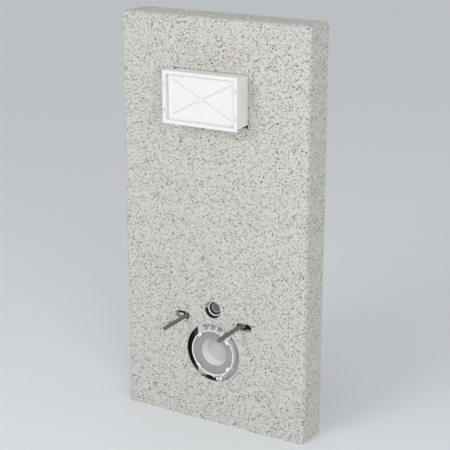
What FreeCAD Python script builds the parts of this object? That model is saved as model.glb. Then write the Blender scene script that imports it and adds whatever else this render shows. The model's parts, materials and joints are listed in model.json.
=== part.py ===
"""Wall-hung toilet installation block: a stone-flecked lightweight-concrete casting that hides a
cistern, a steel load frame, the flush pipe and the drain bend, with the service shaft, the bowl
studs and the two pipe mouths showing in its front face.

Millimetres. +Z is up, +Y points at the wall behind, and the front face looks along -Y.
The origin is on the floor, in the middle of the width, in the plane of the wall.
"""

import math
import os

import FreeCAD
import Part

# Casting
BLOCK_WIDTH = 600.0
BLOCK_HEIGHT = 1200.0
BLOCK_DEPTH = 105.0
BLOCK_EDGE_RADIUS = 14.0
FRONT_WALL = 20.0
SKIN = 4.0
SKIN_WIDTH = 200.0
SKIN_ABOVE_FLUSH = 3.0
RECESS_WIDTH = 400.0
RECESS_CORNER_RADIUS = 12.0

# Heights and spacings that a wall-hung bowl expects
DRAIN_HEIGHT = 222.0
STUD_ABOVE_DRAIN = 100.0
FLUSH_ABOVE_DRAIN = 135.0
STUD_SPACING = 180.0
STUD_SPACING_WIDE = 230.0

# Holes in the front wall
DRAIN_HOLE_RADIUS = 89.0
FLUSH_HOLE_RADIUS = 26.3
SLOT_HEIGHT = 23.0
SLOT_END_MARGIN = 2.0
DRAIN_RING_SETBACK = 4.0
DRAIN_RING_WIDTH = 6.0
DRAIN_RING_THICKNESS = 4.0
FLUSH_SLEEVE_THICKNESS = 1.6
SERVICE_GAP = 0.3
SERVICE_GAP_LEFT = 10.0
SERVICE_GAP_BELOW = 8.5
SERVICE_OPENING_RADIUS = 2.0

# Service shaft: a flange in front, a tapered tube, and a ledge that carries the cover
SHAFT_CENTRE_HEIGHT = 985.0
SHAFT_REACH = 68.0
SHAFT_FLANGE_WIDTH = 236.0
SHAFT_FLANGE_HEIGHT = 147.5
SHAFT_FLANGE_THICKNESS = 5.0
SHAFT_FLANGE_RADIUS = 3.0
SHAFT_FLANGE_FACE = 9.5
SHAFT_FLANGE_OVERHANG = 4.0
SHAFT_TAPER = 1.3
SHAFT_WALL = 2.5
SHAFT_TUBE_RADIUS = 3.0
SHAFT_BORE_RADIUS = 1.5
SHAFT_MOUTH_RADIUS = 4.0
SHAFT_LEDGE_WIDTH = 8.5
SHAFT_LEDGE_THICKNESS = 2.0
CLIP_SLIT_LENGTH = 14.0
CLIP_SLIT_WIDTH = 2.0
CLIP_SLIT_DEPTH = 6.0
CLIP_SLIT_FROM_EDGE = 4.5
CLIP_SLIT_SPACING = 72.0

# Service cover: a panel with crossed creases that meet at a boss
COVER_RECESS = 11.0
COVER_GAP = 3.0
COVER_THICKNESS = 2.5
COVER_CORNER_RADIUS = 5.0
COVER_CREASE_WIDTH = 8.5
COVER_CREASE_DEPTH = 1.9
COVER_CREASE_MARGIN = 13.0
COVER_BOSS_RADIUS = 6.5
COVER_BOSS_HEIGHT = 1.6

# Cistern
CISTERN_WIDTH = 460.0
CISTERN_HEIGHT = 420.0
CISTERN_DEPTH = 80.0
CISTERN_BOTTOM = 700.0
CISTERN_WALL = 4.0
CISTERN_EDGE_RADIUS = 14.0
CISTERN_INNER_CHAMFER = 6.0
CISTERN_RIB_COUNT = 6
CISTERN_RIB_SPACING = 64.0
CISTERN_RIB_RADIUS = 10.0
CISTERN_RIB_HEIGHT = 3.0
CISTERN_RIB_MARGIN = 50.0
CISTERN_ACCESS_WIDTH = 196.0
CISTERN_ACCESS_HEIGHT = 104.0

# Flush outlet, pipe and mouth
OUTLET_RADIUS = 30.0
OUTLET_LENGTH = 30.0
OUTLET_FLANGE_RADIUS = 37.0
OUTLET_FLANGE_THICKNESS = 3.0
FLUSH_PIPE_RADIUS = 23.0
FLUSH_PIPE_WALL = 2.5
FLUSH_PIPE_DEPTH = 58.0
FLUSH_BEND_RADIUS = 35.0
FLUSH_MOUTH_DEPTH = 15.0
FLUSH_NUT_RADIUS = 37.5
FLUSH_NUT_HEIGHT = 24.0
FLUSH_NUT_DROP = 4.3
FLUSH_NUT_GRIPS = 12
FLUSH_NUT_GRIP_RADIUS = 4.0
FLUSH_COLLAR_THICKNESS = 4.0
FLUSH_COLLAR_CHAMFER = 1.0
FLUSH_SEAL_INNER_RADIUS = 15.2
FLUSH_SEAL_LENGTH = 12.0
FLUSH_SEAL_LIP = 3.5
FLUSH_PLUG_DEPTH = 20.0
FLUSH_PLUG_LENGTH = 8.0
FLUSH_PLUG_RIM = 3.0
FLUSH_PLUG_DISH = 3.0

# Drain bend: welded from mitred pipe, with a tapered upright spigot
DRAIN_PIPE_RADIUS = 48.0
DRAIN_PIPE_BORE = 45.4
DRAIN_SPIGOT_RADIUS = 45.0
DRAIN_SPIGOT_BORE = 42.0
DRAIN_BEND_RADIUS = 50.0
DRAIN_BEND_START = 3.0
DRAIN_BEND_CUTS = 4
DRAIN_MOUTH_DEPTH = 5.2
DRAIN_TAPER_LENGTH = 26.0
DRAIN_SPIGOT_END = 15.0

# Drain clamp: a ring round the pipe's mouth with ribs, hooks, a back flange and a tail
CLAMP_RADIUS = 70.5
CLAMP_WALL = 3.4
CLAMP_WEB = 1.8
CLAMP_LENGTH = 30.0
CLAMP_PROUD = 2.0
CLAMP_PIPE_CLEARANCE = 1.0
CLAMP_FLANGE_RADIUS = 92.0
CLAMP_FLANGE_THICKNESS = 3.0
CLAMP_FLANGE_FROM = -80.0
CLAMP_FLANGE_TO = 125.0
CLAMP_RIB_COUNT = 5
CLAMP_RIB_FIRST = 120.0
CLAMP_RIB_PITCH = 18.0
CLAMP_RIB_WIDTH = 6.5
CLAMP_RIB_SETBACK = 3.0
CLAMP_RIB_DROP = 1.5
CLAMP_HOOK_ANGLES = (42.0, 130.0, 225.0, 322.0)
CLAMP_HOOK_WIDTH = 15.0
CLAMP_HOOK_REACH = 9.0
CLAMP_HOOK_THICKNESS = 2.2
CLAMP_HOOK_SETBACK = 0.6
CLAMP_FINGER_ANGLE = -86.0
CLAMP_FINGER_WIDTH = 4.0
CLAMP_FINGER_HEIGHT = 6.0
CLAMP_FINGER_LENGTH = 9.0
CLAMP_LATCH_ANGLE = -99.0
CLAMP_LATCH_WIDTH = 24.0
CLAMP_LATCH_HEIGHT = 5.5
CLAMP_LATCH_SETBACK = 6.0
CLAMP_LATCH_LENGTH = 9.0
TAIL_FROM = -27.0
TAIL_TO = -80.0
TAIL_THICKNESS = 4.0
TAIL_SETBACK = 1.0
TAIL_CLEARANCE = 2.2
TAIL_FOOT_LENGTH = 18.0
TAIL_FOOT_HEIGHT = 9.0
TAIL_FOOT_OVERLAP = 3.0
TAIL_SCREW_RADIUS = 2.6
TAIL_SCREW_DEPTH = 8.0

# Drain plug
DRAIN_PLUG_FLANGE = 3.0
DRAIN_PLUG_SEAT = 0.2
DRAIN_PLUG_CUP_RADIUS = 43.5
DRAIN_PLUG_CUP_DEPTH = 31.0
DRAIN_PLUG_CUP_DRAFT = 5.5
DRAIN_PLUG_WALL = 1.6
DRAIN_PLUG_MOUTH_RADIUS = 2.5
DRAIN_PLUG_FLOOR_RADIUS = 6.0

# Steel load frame
POST_INSIDE_SPACING = 207.0
POST_WIDTH = 35.0
POST_DEPTH = 30.0
POST_WALL = 2.5
POST_CORNER_RADIUS = 4.0
POST_TOP = 676.0
CAP_THICKNESS = 4.0
BOLT_BAR_SETBACK = 34.5
BOLT_BAR_DEPTH = 24.5
BOLT_BAR_HEIGHT = 25.0
BOLT_BAR_WALL = 2.5
BOLT_BAR_CORNER_RADIUS = 3.5
BOLT_BAR_OVERHANG = 3.0
STIFFENER_HEIGHT = 13.5
STIFFENER_SETBACK = 4.0
STIFFENER_THICKNESS = 5.0
TOP_BAR_THICKNESS = 8.0
TOP_BAR_HEIGHT = 30.0
TOP_BAR_CENTRE = 655.5
FOOT_THICKNESS = 5.0
FOOT_WIDTH = 90.0
FOOT_DEPTH = 63.0
FOOT_MARGIN = 5.0
FOOT_FRONT_MARGIN = 20.0
FOOT_CORNER_RADIUS = 8.0
LUG_THICKNESS = 4.0
LUG_HEIGHT = 50.0
LUG_WIDTH = 50.0
LUG_LEG_DEPTH = 46.0
LUG_CENTRE = 560.0
ANCHOR_HOLE_RADIUS = 5.5
ANCHOR_SPACING = 330.0
BRACKET_TOP = 100.0
BRACKET_PLATE = 5.0
SADDLE_HEIGHT = 25.0
SADDLE_THICKNESS = 3.0

# Bowl studs, nuts and washers
STUD_RADIUS = 6.0
STUD_REACH = 119.0
STUD_TAIL = 12.0
STUD_CHAMFER = 1.2
STUD_RELIEF_LENGTH = 2.0
STUD_RELIEF_DEPTH = 0.9
STUD_HOLE_RADIUS = 6.6
NUT_ACROSS_FLATS = 18.0
NUT_HEIGHT = 10.0
FRONT_NUT_DEPTH = 10.0
NUT_BEVEL = 1.2
THREAD_CLEARANCE = 0.05
WASHER_RADIUS = 10.2
WASHER_THICKNESS = 2.5

# Water inlet
INLET_OFFSET = 165.0
INLET_HEX = 26.0
INLET_LENGTH = 36.0
INLET_BORE_RADIUS = 9.3
INLET_BORE_LENGTH = 16.0
INLET_WAY_RADIUS = 6.3

# Clearances
SEAT_CLEARANCE = 0.3
OVERCUT = 5.0
NEAR = 1.0

# Places worked out from the sizes above
FRONT = -BLOCK_DEPTH
RECESS_FRONT = FRONT + FRONT_WALL
STUD_HEIGHT = DRAIN_HEIGHT + STUD_ABOVE_DRAIN
FLUSH_HEIGHT = DRAIN_HEIGHT + FLUSH_ABOVE_DRAIN
BAR_FRONT = FRONT + BOLT_BAR_SETBACK
BAR_BACK = BAR_FRONT + BOLT_BAR_DEPTH
POST_FRONT = BAR_BACK
POST_BACK = POST_FRONT + POST_DEPTH
POST_INSIDE = POST_INSIDE_SPACING / 2
POST_OUTSIDE = POST_INSIDE + POST_WIDTH
FLUSH_Y = FRONT + FLUSH_PIPE_DEPTH
DRAIN_Y = FRONT + DRAIN_BEND_START + DRAIN_BEND_RADIUS
CISTERN_TOP = CISTERN_BOTTOM + CISTERN_HEIGHT
CISTERN_BACK = RECESS_FRONT + CISTERN_DEPTH
SHAFT_FRONT = FRONT - SHAFT_REACH
COVER_FRONT = SHAFT_FRONT + COVER_RECESS
LEDGE_FRONT = COVER_FRONT + COVER_THICKNESS
CLAMP_FRONT = FRONT - CLAMP_PROUD
CLAMP_BACK = CLAMP_FRONT + CLAMP_LENGTH
CLAMP_ROOT = CLAMP_RADIUS - CLAMP_WALL / 2
FLANGE_FRONT = CLAMP_BACK - CLAMP_FLANGE_THICKNESS
NUT_FRONT = FRONT + FRONT_NUT_DEPTH
WASHER_BACK = BAR_BACK + WASHER_THICKNESS
SHAFT_FLANGE = (SHAFT_FLANGE_WIDTH, SHAFT_FLANGE_HEIGHT)
SIDES = {"left": -1, "right": 1}

X_AXIS = FreeCAD.Vector(1, 0, 0)
Y_AXIS = FreeCAD.Vector(0, 1, 0)
Z_AXIS = FreeCAD.Vector(0, 0, 1)
MITRED = 1


def vec(x, y, z):
    """A point in millimetres."""
    return FreeCAD.Vector(x, y, z)


def slab(x0, x1, y0, y1, z0, z1):
    """A box between two corners, given in either order on each axis."""
    low = vec(min(x0, x1), min(y0, y1), min(z0, z1))
    return Part.makeBox(abs(x1 - x0), abs(y1 - y0), abs(z1 - z0), low)


def centred_slab(width, height, centre_height, y0, y1):
    """A box in the middle of the width, centred on a height."""
    low, high = centre_height - height / 2, centre_height + height / 2
    return slab(-width / 2, width / 2, y0, y1, low, high)


def rod_y(radius, x, z, y0, y1):
    """A cylinder that runs from front to back."""
    return Part.makeCylinder(radius, y1 - y0, vec(x, y0, z), Y_AXIS)


def rod_z(radius, x, y, z0, z1):
    """An upright cylinder."""
    return Part.makeCylinder(radius, z1 - z0, vec(x, y, z0), Z_AXIS)


def runs_along(edge, axis):
    """True for a straight edge parallel to an axis."""
    if edge.Curve.TypeId != "Part::GeomLine":
        return False
    return abs(abs(edge.tangentAt(edge.FirstParameter).dot(axis)) - 1) < 1e-6


def fillet_where(shape, radius, test):
    """Round the edges that pass the test."""
    return shape.makeFillet(radius, [edge for edge in shape.Edges if test(edge)])


def fillet_along(shape, radius, axis):
    """Round the straight edges parallel to an axis."""
    return fillet_where(shape, radius, lambda edge: runs_along(edge, axis))


def rectangle_loft(front, back, y_front, y_back, radius):
    """A solid between two rounded rectangles of (width, height), centred on the service shaft."""
    wires = []
    for (width, height), y in ((front, y_front), (back, y_back)):
        plate = centred_slab(width, height, SHAFT_CENTRE_HEIGHT, y, y + OVERCUT)
        plate = fillet_along(plate, radius, Y_AXIS)
        wires.append(min(plate.Faces, key=lambda face: face.CenterOfMass.y).OuterWire)
    return Part.makeLoft(wires, True, True)


def inset(section, amount):
    """A (width, height) made smaller by the same amount on every side."""
    return tuple(size - 2 * amount for size in section)


def turned_y(outline, x, z):
    """Revolve (radius, y) points about a front-to-back axis at x, z."""
    points = [vec(x + radius, y, z) for radius, y in outline]
    face = Part.Face(Part.makePolygon(points + points[:1]))
    return face.revolve(vec(x, 0, z), Y_AXIS, 360)


def mitred_bar(points, radius):
    """A round bar through (y, z) points in the middle plane, mitred at each corner; it starts along Y."""
    path = Part.makePolygon([vec(0, y, z) for y, z in points])
    sweep = Part.BRepOffsetAPI.MakePipeShell(path)
    sweep.setTransitionMode(MITRED)
    sweep.add(Part.Wire(Part.makeCircle(radius, vec(0, *points[0]), Y_AXIS)))
    sweep.build()
    sweep.makeSolid()
    return sweep.shape()


def hexagon_prism(across_flats, length, base, axis):
    """A hexagonal prism that starts at base and runs along an axis."""
    radius = across_flats / math.sqrt(3)
    side = Z_AXIS if abs(axis.dot(Z_AXIS)) < 0.5 else X_AXIS
    other = axis.cross(side)
    points = []
    for corner in range(6):
        angle = math.radians(60 * corner + 30)
        points.append(base + side * (radius * math.sin(angle)) + other * (radius * math.cos(angle)))
    return Part.Face(Part.makePolygon(points + points[:1])).extrude(axis * length)


def on_side(shape, sign):
    """A piece drawn on the right, placed on the left or the right."""
    return shape if sign > 0 else shape.mirror(vec(0, 0, 0), X_AXIS)


def block():
    """The casting: front wall, side legs and head, open at the back below and around the cistern."""
    half = BLOCK_WIDTH / 2
    body = slab(-half, half, FRONT, 0, 0, BLOCK_HEIGHT)

    def rounded_edge(edge):
        middle = edge.CenterOfMass
        upright_front = runs_along(edge, Z_AXIS) and middle.y < FRONT + NEAR
        top = middle.z > BLOCK_HEIGHT - NEAR and middle.y < -NEAR
        return upright_front or top

    body = fillet_where(body, BLOCK_EDGE_RADIUS, rounded_edge)
    return body.cut([cistern_pocket(), rear_recess(), skin_pocket()]).cut(front_wall_holes())


def cistern_pocket():
    """The tool for the pocket that holds the cistern, with rounded upper corners."""
    half = CISTERN_WIDTH / 2 + SEAT_CLEARANCE
    top = CISTERN_TOP + SEAT_CLEARANCE
    pocket = slab(-half, half, RECESS_FRONT, OVERCUT, CISTERN_BOTTOM, top)

    def upper_corner(edge):
        return runs_along(edge, Y_AXIS) and edge.CenterOfMass.z > top - NEAR

    return fillet_where(pocket, CISTERN_EDGE_RADIUS - SEAT_CLEARANCE, upper_corner)


def rear_recess():
    """The tool for the recess behind the front wall, open at the back and at the floor."""
    half = RECESS_WIDTH / 2
    recess = slab(-half, half, RECESS_FRONT, OVERCUT, -OVERCUT, CISTERN_BOTTOM + OVERCUT)

    def front_corner(edge):
        return runs_along(edge, Z_AXIS) and edge.CenterOfMass.y < RECESS_FRONT + NEAR

    return fillet_where(recess, RECESS_CORNER_RADIUS, front_corner)


def skin_pocket():
    """The tool that leaves a thin skin in front of the drain, up to the middle of the flush hole."""
    half = SKIN_WIDTH / 2
    top = FLUSH_HEIGHT + SKIN_ABOVE_FLUSH
    return slab(-half, half, FRONT + SKIN, RECESS_FRONT + OVERCUT, -OVERCUT, top)


def front_wall_holes():
    """Tools for the drain hole, the flush hole, the stud slots and the service opening."""
    y0 = FRONT - OVERCUT
    y1 = RECESS_FRONT + OVERCUT
    holes = [
        rod_y(DRAIN_HOLE_RADIUS, 0, DRAIN_HEIGHT, y0, y1),
        rod_y(FLUSH_HOLE_RADIUS, 0, FLUSH_HEIGHT, y0, y1),
        service_opening(y0, y1),
    ]
    half = SLOT_HEIGHT / 2
    inner = STUD_SPACING / 2
    outer = STUD_SPACING_WIDE / 2 + SLOT_END_MARGIN
    for sign in SIDES.values():
        middle = slab(sign * inner, sign * outer, y0, y1, STUD_HEIGHT - half, STUD_HEIGHT + half)
        ends = [rod_y(half, sign * x, STUD_HEIGHT, y0, y1) for x in (inner, outer)]
        holes.append(middle.fuse(ends))
    return holes


def service_opening(y0, y1):
    """The tool for the shaft's opening, cut close above and on the right, wider below and on the left."""
    width, height = inset(SHAFT_FLANGE, SHAFT_FLANGE_OVERHANG)
    low = SHAFT_CENTRE_HEIGHT - height / 2 - SERVICE_GAP_BELOW
    high = SHAFT_CENTRE_HEIGHT + height / 2 + SERVICE_GAP
    opening = slab(-width / 2 - SERVICE_GAP_LEFT, width / 2 + SERVICE_GAP, y0, y1, low, high)
    return fillet_along(opening, SERVICE_OPENING_RADIUS, Y_AXIS)


def drain_sleeve():
    """The black ring behind the casting's skin, round the drain hole."""
    bore = DRAIN_HOLE_RADIUS + DRAIN_RING_SETBACK
    outside = bore + DRAIN_RING_WIDTH
    y0 = FRONT + SKIN
    y1 = y0 + DRAIN_RING_THICKNESS
    return turned_y([(bore, y0), (outside, y0), (outside, y1), (bore, y1)], 0, DRAIN_HEIGHT)


def flush_sleeve():
    """The black lining in the lower half of the flush hole."""
    outside = FLUSH_HOLE_RADIUS - SEAT_CLEARANCE
    bore = outside - FLUSH_SLEEVE_THICKNESS
    lining = turned_y(
        [(bore, FRONT), (outside, FRONT), (outside, RECESS_FRONT), (bore, RECESS_FRONT)], 0, FLUSH_HEIGHT,
    )
    low = FLUSH_HEIGHT - outside
    return lining.common(slab(-outside, outside, FRONT, RECESS_FRONT, low, FLUSH_HEIGHT))


def service_shaft():
    """The white shaft from the cistern out through the front wall, with its flange and inner ledge."""
    flange = SHAFT_FLANGE
    tube = inset(flange, SHAFT_FLANGE_OVERHANG)
    end = inset(tube, SHAFT_TAPER)
    y_step = SHAFT_FRONT + SHAFT_FLANGE_THICKNESS
    outer = rectangle_loft(flange, flange, SHAFT_FRONT, y_step, SHAFT_FLANGE_RADIUS)
    outer = outer.fuse(rectangle_loft(tube, end, y_step, RECESS_FRONT, SHAFT_TUBE_RADIUS))
    mouth = inset(flange, SHAFT_FLANGE_FACE)
    window = inset(mouth, SHAFT_LEDGE_WIDTH)
    bore = inset(end, SHAFT_WALL)
    ledge_back = LEDGE_FRONT + SHAFT_LEDGE_THICKNESS
    well = rectangle_loft(mouth, mouth, SHAFT_FRONT - OVERCUT, LEDGE_FRONT, SHAFT_MOUTH_RADIUS)
    through = rectangle_loft(window, window, SHAFT_FRONT, RECESS_FRONT, SHAFT_MOUTH_RADIUS)
    hollow = rectangle_loft(bore, bore, ledge_back, RECESS_FRONT + OVERCUT, SHAFT_BORE_RADIUS)
    return outer.cut([well, through, hollow] + clip_slits())


def clip_slits():
    """Tools for four narrow slits in the flange, two on each side, where the cover's clips catch."""
    half = CLIP_SLIT_LENGTH / 2
    y1 = SHAFT_FRONT + CLIP_SLIT_DEPTH
    outer = SHAFT_FLANGE_WIDTH / 2 - CLIP_SLIT_FROM_EDGE
    slits = []
    for sign in SIDES.values():
        x0, x1 = sign * outer, sign * (outer - CLIP_SLIT_WIDTH)
        for step in (-0.5, 0.5):
            z = SHAFT_CENTRE_HEIGHT + step * CLIP_SLIT_SPACING
            slits.append(slab(x0, x1, SHAFT_FRONT - OVERCUT, y1, z - half, z + half))
    return slits


def service_cover():
    """The cover panel that lies on the shaft's ledge, with crossed creases and a boss."""
    panel = inset(SHAFT_FLANGE, SHAFT_FLANGE_FACE + COVER_GAP)
    plate = rectangle_loft(panel, panel, COVER_FRONT, LEDGE_FRONT, COVER_CORNER_RADIUS)
    plate = plate.cut(cover_creases(inset(panel, COVER_CREASE_MARGIN)))
    boss_front = COVER_FRONT - COVER_BOSS_HEIGHT
    return plate.fuse(rod_y(COVER_BOSS_RADIUS, 0, SHAFT_CENTRE_HEIGHT, boss_front, LEDGE_FRONT))


def cover_creases(span):
    """Tools for V grooves along the diagonals of a (width, height)."""
    reach = math.hypot(*span) / 2
    half = COVER_CREASE_WIDTH / 2
    over = COVER_FRONT - OVERCUT
    section = [(over, -half), (over, half), (COVER_FRONT, half),
               (COVER_FRONT + COVER_CREASE_DEPTH, 0), (COVER_FRONT, -half)]
    points = [vec(-reach, y, SHAFT_CENTRE_HEIGHT + z) for y, z in section]
    crease = Part.Face(Part.makePolygon(points + points[:1])).extrude(X_AXIS * (2 * reach))
    creases = []
    for sign in SIDES.values():
        turned = crease.copy()
        tilt = sign * math.degrees(math.atan2(span[1], span[0]))
        turned.rotate(vec(0, 0, SHAFT_CENTRE_HEIGHT), Y_AXIS, tilt)
        creases.append(turned)
    return creases


def cistern():
    """The blow-moulded tank that rests on the casting's ledges, ribbed behind, with its openings."""
    half = CISTERN_WIDTH / 2
    wall = CISTERN_WALL
    outer = slab(-half, half, RECESS_FRONT, CISTERN_BACK, CISTERN_BOTTOM, CISTERN_TOP)
    outer = fillet_where(outer, CISTERN_EDGE_RADIUS, lambda edge: True).fuse(cistern_ribs())
    inner = slab(
        wall - half, half - wall, RECESS_FRONT + wall, CISTERN_BACK - wall,
        CISTERN_BOTTOM + wall, CISTERN_TOP - wall,
    )
    inner = inner.makeChamfer(CISTERN_INNER_CHAMFER, inner.Edges)
    access = centred_slab(
        CISTERN_ACCESS_WIDTH, CISTERN_ACCESS_HEIGHT, SHAFT_CENTRE_HEIGHT,
        RECESS_FRONT - OVERCUT, RECESS_FRONT + 2 * wall,
    )
    low, high = CISTERN_BOTTOM - OVERCUT, CISTERN_BOTTOM + 2 * wall
    outlet = rod_z(OUTLET_RADIUS + SEAT_CLEARANCE, 0, FLUSH_Y, low, high)
    inlet = rod_z(INLET_WAY_RADIUS, -INLET_OFFSET, FLUSH_Y, low, high)
    return outer.cut([inner, access, outlet, inlet])


def cistern_ribs():
    """Upright stiffening ribs on the tank's back."""
    y = CISTERN_BACK + CISTERN_RIB_HEIGHT - CISTERN_RIB_RADIUS
    low, high = CISTERN_BOTTOM + CISTERN_RIB_MARGIN, CISTERN_TOP - CISTERN_RIB_MARGIN
    first = -(CISTERN_RIB_COUNT - 1) / 2
    places = [(first + index) * CISTERN_RIB_SPACING for index in range(CISTERN_RIB_COUNT)]
    return [rod_z(CISTERN_RIB_RADIUS, x, y, low, high) for x in places]


def flush_outlet():
    """The flush valve's outlet: a tube through the tank's floor, with a flange under it."""
    top = CISTERN_BOTTOM + CISTERN_WALL
    bottom = CISTERN_BOTTOM - OUTLET_LENGTH
    tube = rod_z(OUTLET_RADIUS, 0, FLUSH_Y, bottom, top)
    under = CISTERN_BOTTOM - OUTLET_FLANGE_THICKNESS
    flange = rod_z(OUTLET_FLANGE_RADIUS, 0, FLUSH_Y, under, CISTERN_BOTTOM)
    bore = rod_z(FLUSH_PIPE_RADIUS + SEAT_CLEARANCE, 0, FLUSH_Y, bottom - OVERCUT, top + OVERCUT)
    return tube.fuse(flange).cut(bore)


def flush_nut():
    """The gripped nut under the tank that holds the flush outlet."""
    top = CISTERN_BOTTOM - FLUSH_NUT_DROP
    bottom = top - FLUSH_NUT_HEIGHT
    low, high = bottom - OVERCUT, top + OVERCUT
    cuts = [rod_z(OUTLET_RADIUS + SEAT_CLEARANCE, 0, FLUSH_Y, low, high)]
    for index in range(FLUSH_NUT_GRIPS):
        angle = 2 * math.pi * index / FLUSH_NUT_GRIPS
        x = FLUSH_NUT_RADIUS * math.cos(angle)
        y = FLUSH_Y + FLUSH_NUT_RADIUS * math.sin(angle)
        cuts.append(rod_z(FLUSH_NUT_GRIP_RADIUS, x, y, low, high))
    return rod_z(FLUSH_NUT_RADIUS, 0, FLUSH_Y, bottom, top).cut(cuts)


def flush_core(radius, y_mouth, top):
    """The flush pipe's outline as one solid: a short arm, a quarter bend and an upright leg."""
    y_bend = FLUSH_Y - FLUSH_BEND_RADIUS
    z_bend = FLUSH_HEIGHT + FLUSH_BEND_RADIUS
    arm = rod_y(radius, 0, FLUSH_HEIGHT, y_mouth, y_bend)
    circle = Part.Wire(Part.makeCircle(radius, vec(0, y_bend, FLUSH_HEIGHT), Y_AXIS))
    bend = Part.Face(circle).revolve(vec(0, y_bend, z_bend), X_AXIS, 90)
    return arm.fuse([bend, rod_z(radius, 0, FLUSH_Y, z_bend, top)])


def flush_pipe():
    """The pipe from the tank's outlet down to the flush mouth in the front wall."""
    y_mouth = FRONT + FLUSH_MOUTH_DEPTH
    top = CISTERN_BOTTOM - CISTERN_WALL
    outer = flush_core(FLUSH_PIPE_RADIUS, y_mouth, top)
    inner = flush_core(FLUSH_PIPE_RADIUS - FLUSH_PIPE_WALL, y_mouth - OVERCUT, top + OVERCUT)
    return outer.cut(inner).removeSplitter()


def flush_collar():
    """The white ring on the end of the flush pipe."""
    y1 = FRONT + FLUSH_MOUTH_DEPTH
    y0 = y1 - FLUSH_COLLAR_THICKNESS
    outer = FLUSH_PIPE_RADIUS
    inner = outer - FLUSH_PIPE_WALL
    bevel = FLUSH_COLLAR_CHAMFER
    outline = [(inner, y0 + bevel), (inner + bevel, y0), (outer, y0), (outer, y1), (inner, y1)]
    return turned_y(outline, 0, FLUSH_HEIGHT)


def flush_seal():
    """The black lip seal inside the flush mouth."""
    outer = FLUSH_PIPE_RADIUS - FLUSH_PIPE_WALL - SEAT_CLEARANCE
    inner = FLUSH_SEAL_INNER_RADIUS
    lip = FLUSH_SEAL_LIP
    y0 = FRONT + FLUSH_MOUTH_DEPTH - FLUSH_COLLAR_THICKNESS + FLUSH_COLLAR_CHAMFER
    y1 = y0 + FLUSH_SEAL_LENGTH
    outline = [(inner, y0 + 2 * lip), (outer, y0), (outer, y1), (outer - lip, y1), (inner, y0 + 3 * lip)]
    return turned_y(outline, 0, FLUSH_HEIGHT)


def flush_plug():
    """The grey dust plug that closes the flush mouth, slightly dished."""
    radius = FLUSH_SEAL_INNER_RADIUS - SEAT_CLEARANCE
    y0 = FRONT + FLUSH_PLUG_DEPTH
    y1 = y0 + FLUSH_PLUG_LENGTH
    dish = y0 + FLUSH_PLUG_DISH
    rim = radius - FLUSH_PLUG_RIM
    outline = [(0, dish), (rim - FLUSH_PLUG_DISH, dish), (rim, y0), (radius, y0), (radius, y1), (0, y1)]
    return turned_y(outline, 0, FLUSH_HEIGHT)


def drain_path(y_mouth):
    """The (y, z) corners of the drain's centre line, from its mouth round the mitred bend."""
    turn = math.pi / 2 / DRAIN_BEND_CUTS
    reach = DRAIN_BEND_RADIUS / math.cos(turn / 2)
    y_bend = FRONT + DRAIN_BEND_START
    z_bend = DRAIN_HEIGHT - DRAIN_BEND_RADIUS
    path = [(y_mouth, DRAIN_HEIGHT)]
    for cut in range(DRAIN_BEND_CUTS):
        angle = (cut + 0.5) * turn
        path.append((y_bend + reach * math.sin(angle), z_bend + reach * math.cos(angle)))
    return path + [(DRAIN_Y, z_bend)]


def drain_core(pipe_radius, spigot_radius, y_mouth, z_end):
    """The drain bend's outline as one solid: mouth, mitred bend, taper and upright leg."""
    bend = mitred_bar(drain_path(y_mouth), pipe_radius)
    z_taper = DRAIN_HEIGHT - DRAIN_BEND_RADIUS
    z_leg = z_taper - DRAIN_TAPER_LENGTH
    taper = Part.makeCone(spigot_radius, pipe_radius, DRAIN_TAPER_LENGTH, vec(0, DRAIN_Y, z_leg), Z_AXIS)
    return bend.fuse([taper, rod_z(spigot_radius, 0, DRAIN_Y, z_end, z_leg)])


def drain_bend():
    """The drain bend, from its mouth behind the plug to the upright spigot over the floor drain."""
    start = FRONT - OVERCUT
    outer = drain_core(DRAIN_PIPE_RADIUS, DRAIN_SPIGOT_RADIUS, start, DRAIN_SPIGOT_END)
    inner = drain_core(DRAIN_PIPE_BORE, DRAIN_SPIGOT_BORE, start - OVERCUT, DRAIN_SPIGOT_END - OVERCUT)
    ahead = centred_slab(
        2 * CLAMP_RADIUS, 2 * CLAMP_RADIUS, DRAIN_HEIGHT, start - OVERCUT, FRONT + DRAIN_MOUTH_DEPTH,
    )
    return outer.cut([inner, ahead])


def round_drain(shape, degrees):
    """A piece drawn on the right of the drain's axis, turned about it, anticlockwise from the front."""
    shape.rotate(vec(0, 0, DRAIN_HEIGHT), Y_AXIS, -degrees)
    return shape


def clamp_box(r0, r1, y0, y1, width):
    """A box on the right of the drain's axis, between two radii."""
    return slab(r0, r1, y0, y1, DRAIN_HEIGHT - width / 2, DRAIN_HEIGHT + width / 2)


def drain_clamp():
    """The white holder round the drain's mouth: ring, flange, ribs, hooks, finger, latch and tail."""
    finger = clamp_box(
        CLAMP_ROOT, CLAMP_RADIUS + CLAMP_FINGER_HEIGHT,
        CLAMP_FRONT, CLAMP_FRONT + CLAMP_FINGER_LENGTH, CLAMP_FINGER_WIDTH,
    )
    latch_front = CLAMP_FRONT + CLAMP_LATCH_SETBACK
    latch = clamp_box(
        CLAMP_ROOT, CLAMP_RADIUS + CLAMP_LATCH_HEIGHT,
        latch_front, latch_front + CLAMP_LATCH_LENGTH, CLAMP_LATCH_WIDTH,
    )
    extras = clamp_ribs() + clamp_hooks() + [clamp_flange(), clamp_tail()]
    extras += [round_drain(finger, CLAMP_FINGER_ANGLE), round_drain(latch, CLAMP_LATCH_ANGLE)]
    pipe = drain_core(
        DRAIN_PIPE_RADIUS + SEAT_CLEARANCE, DRAIN_SPIGOT_RADIUS + CLAMP_PIPE_CLEARANCE,
        CLAMP_FRONT - OVERCUT, 0,
    )
    return clamp_ring().fuse(extras).cut(pipe).removeSplitter()


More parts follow.
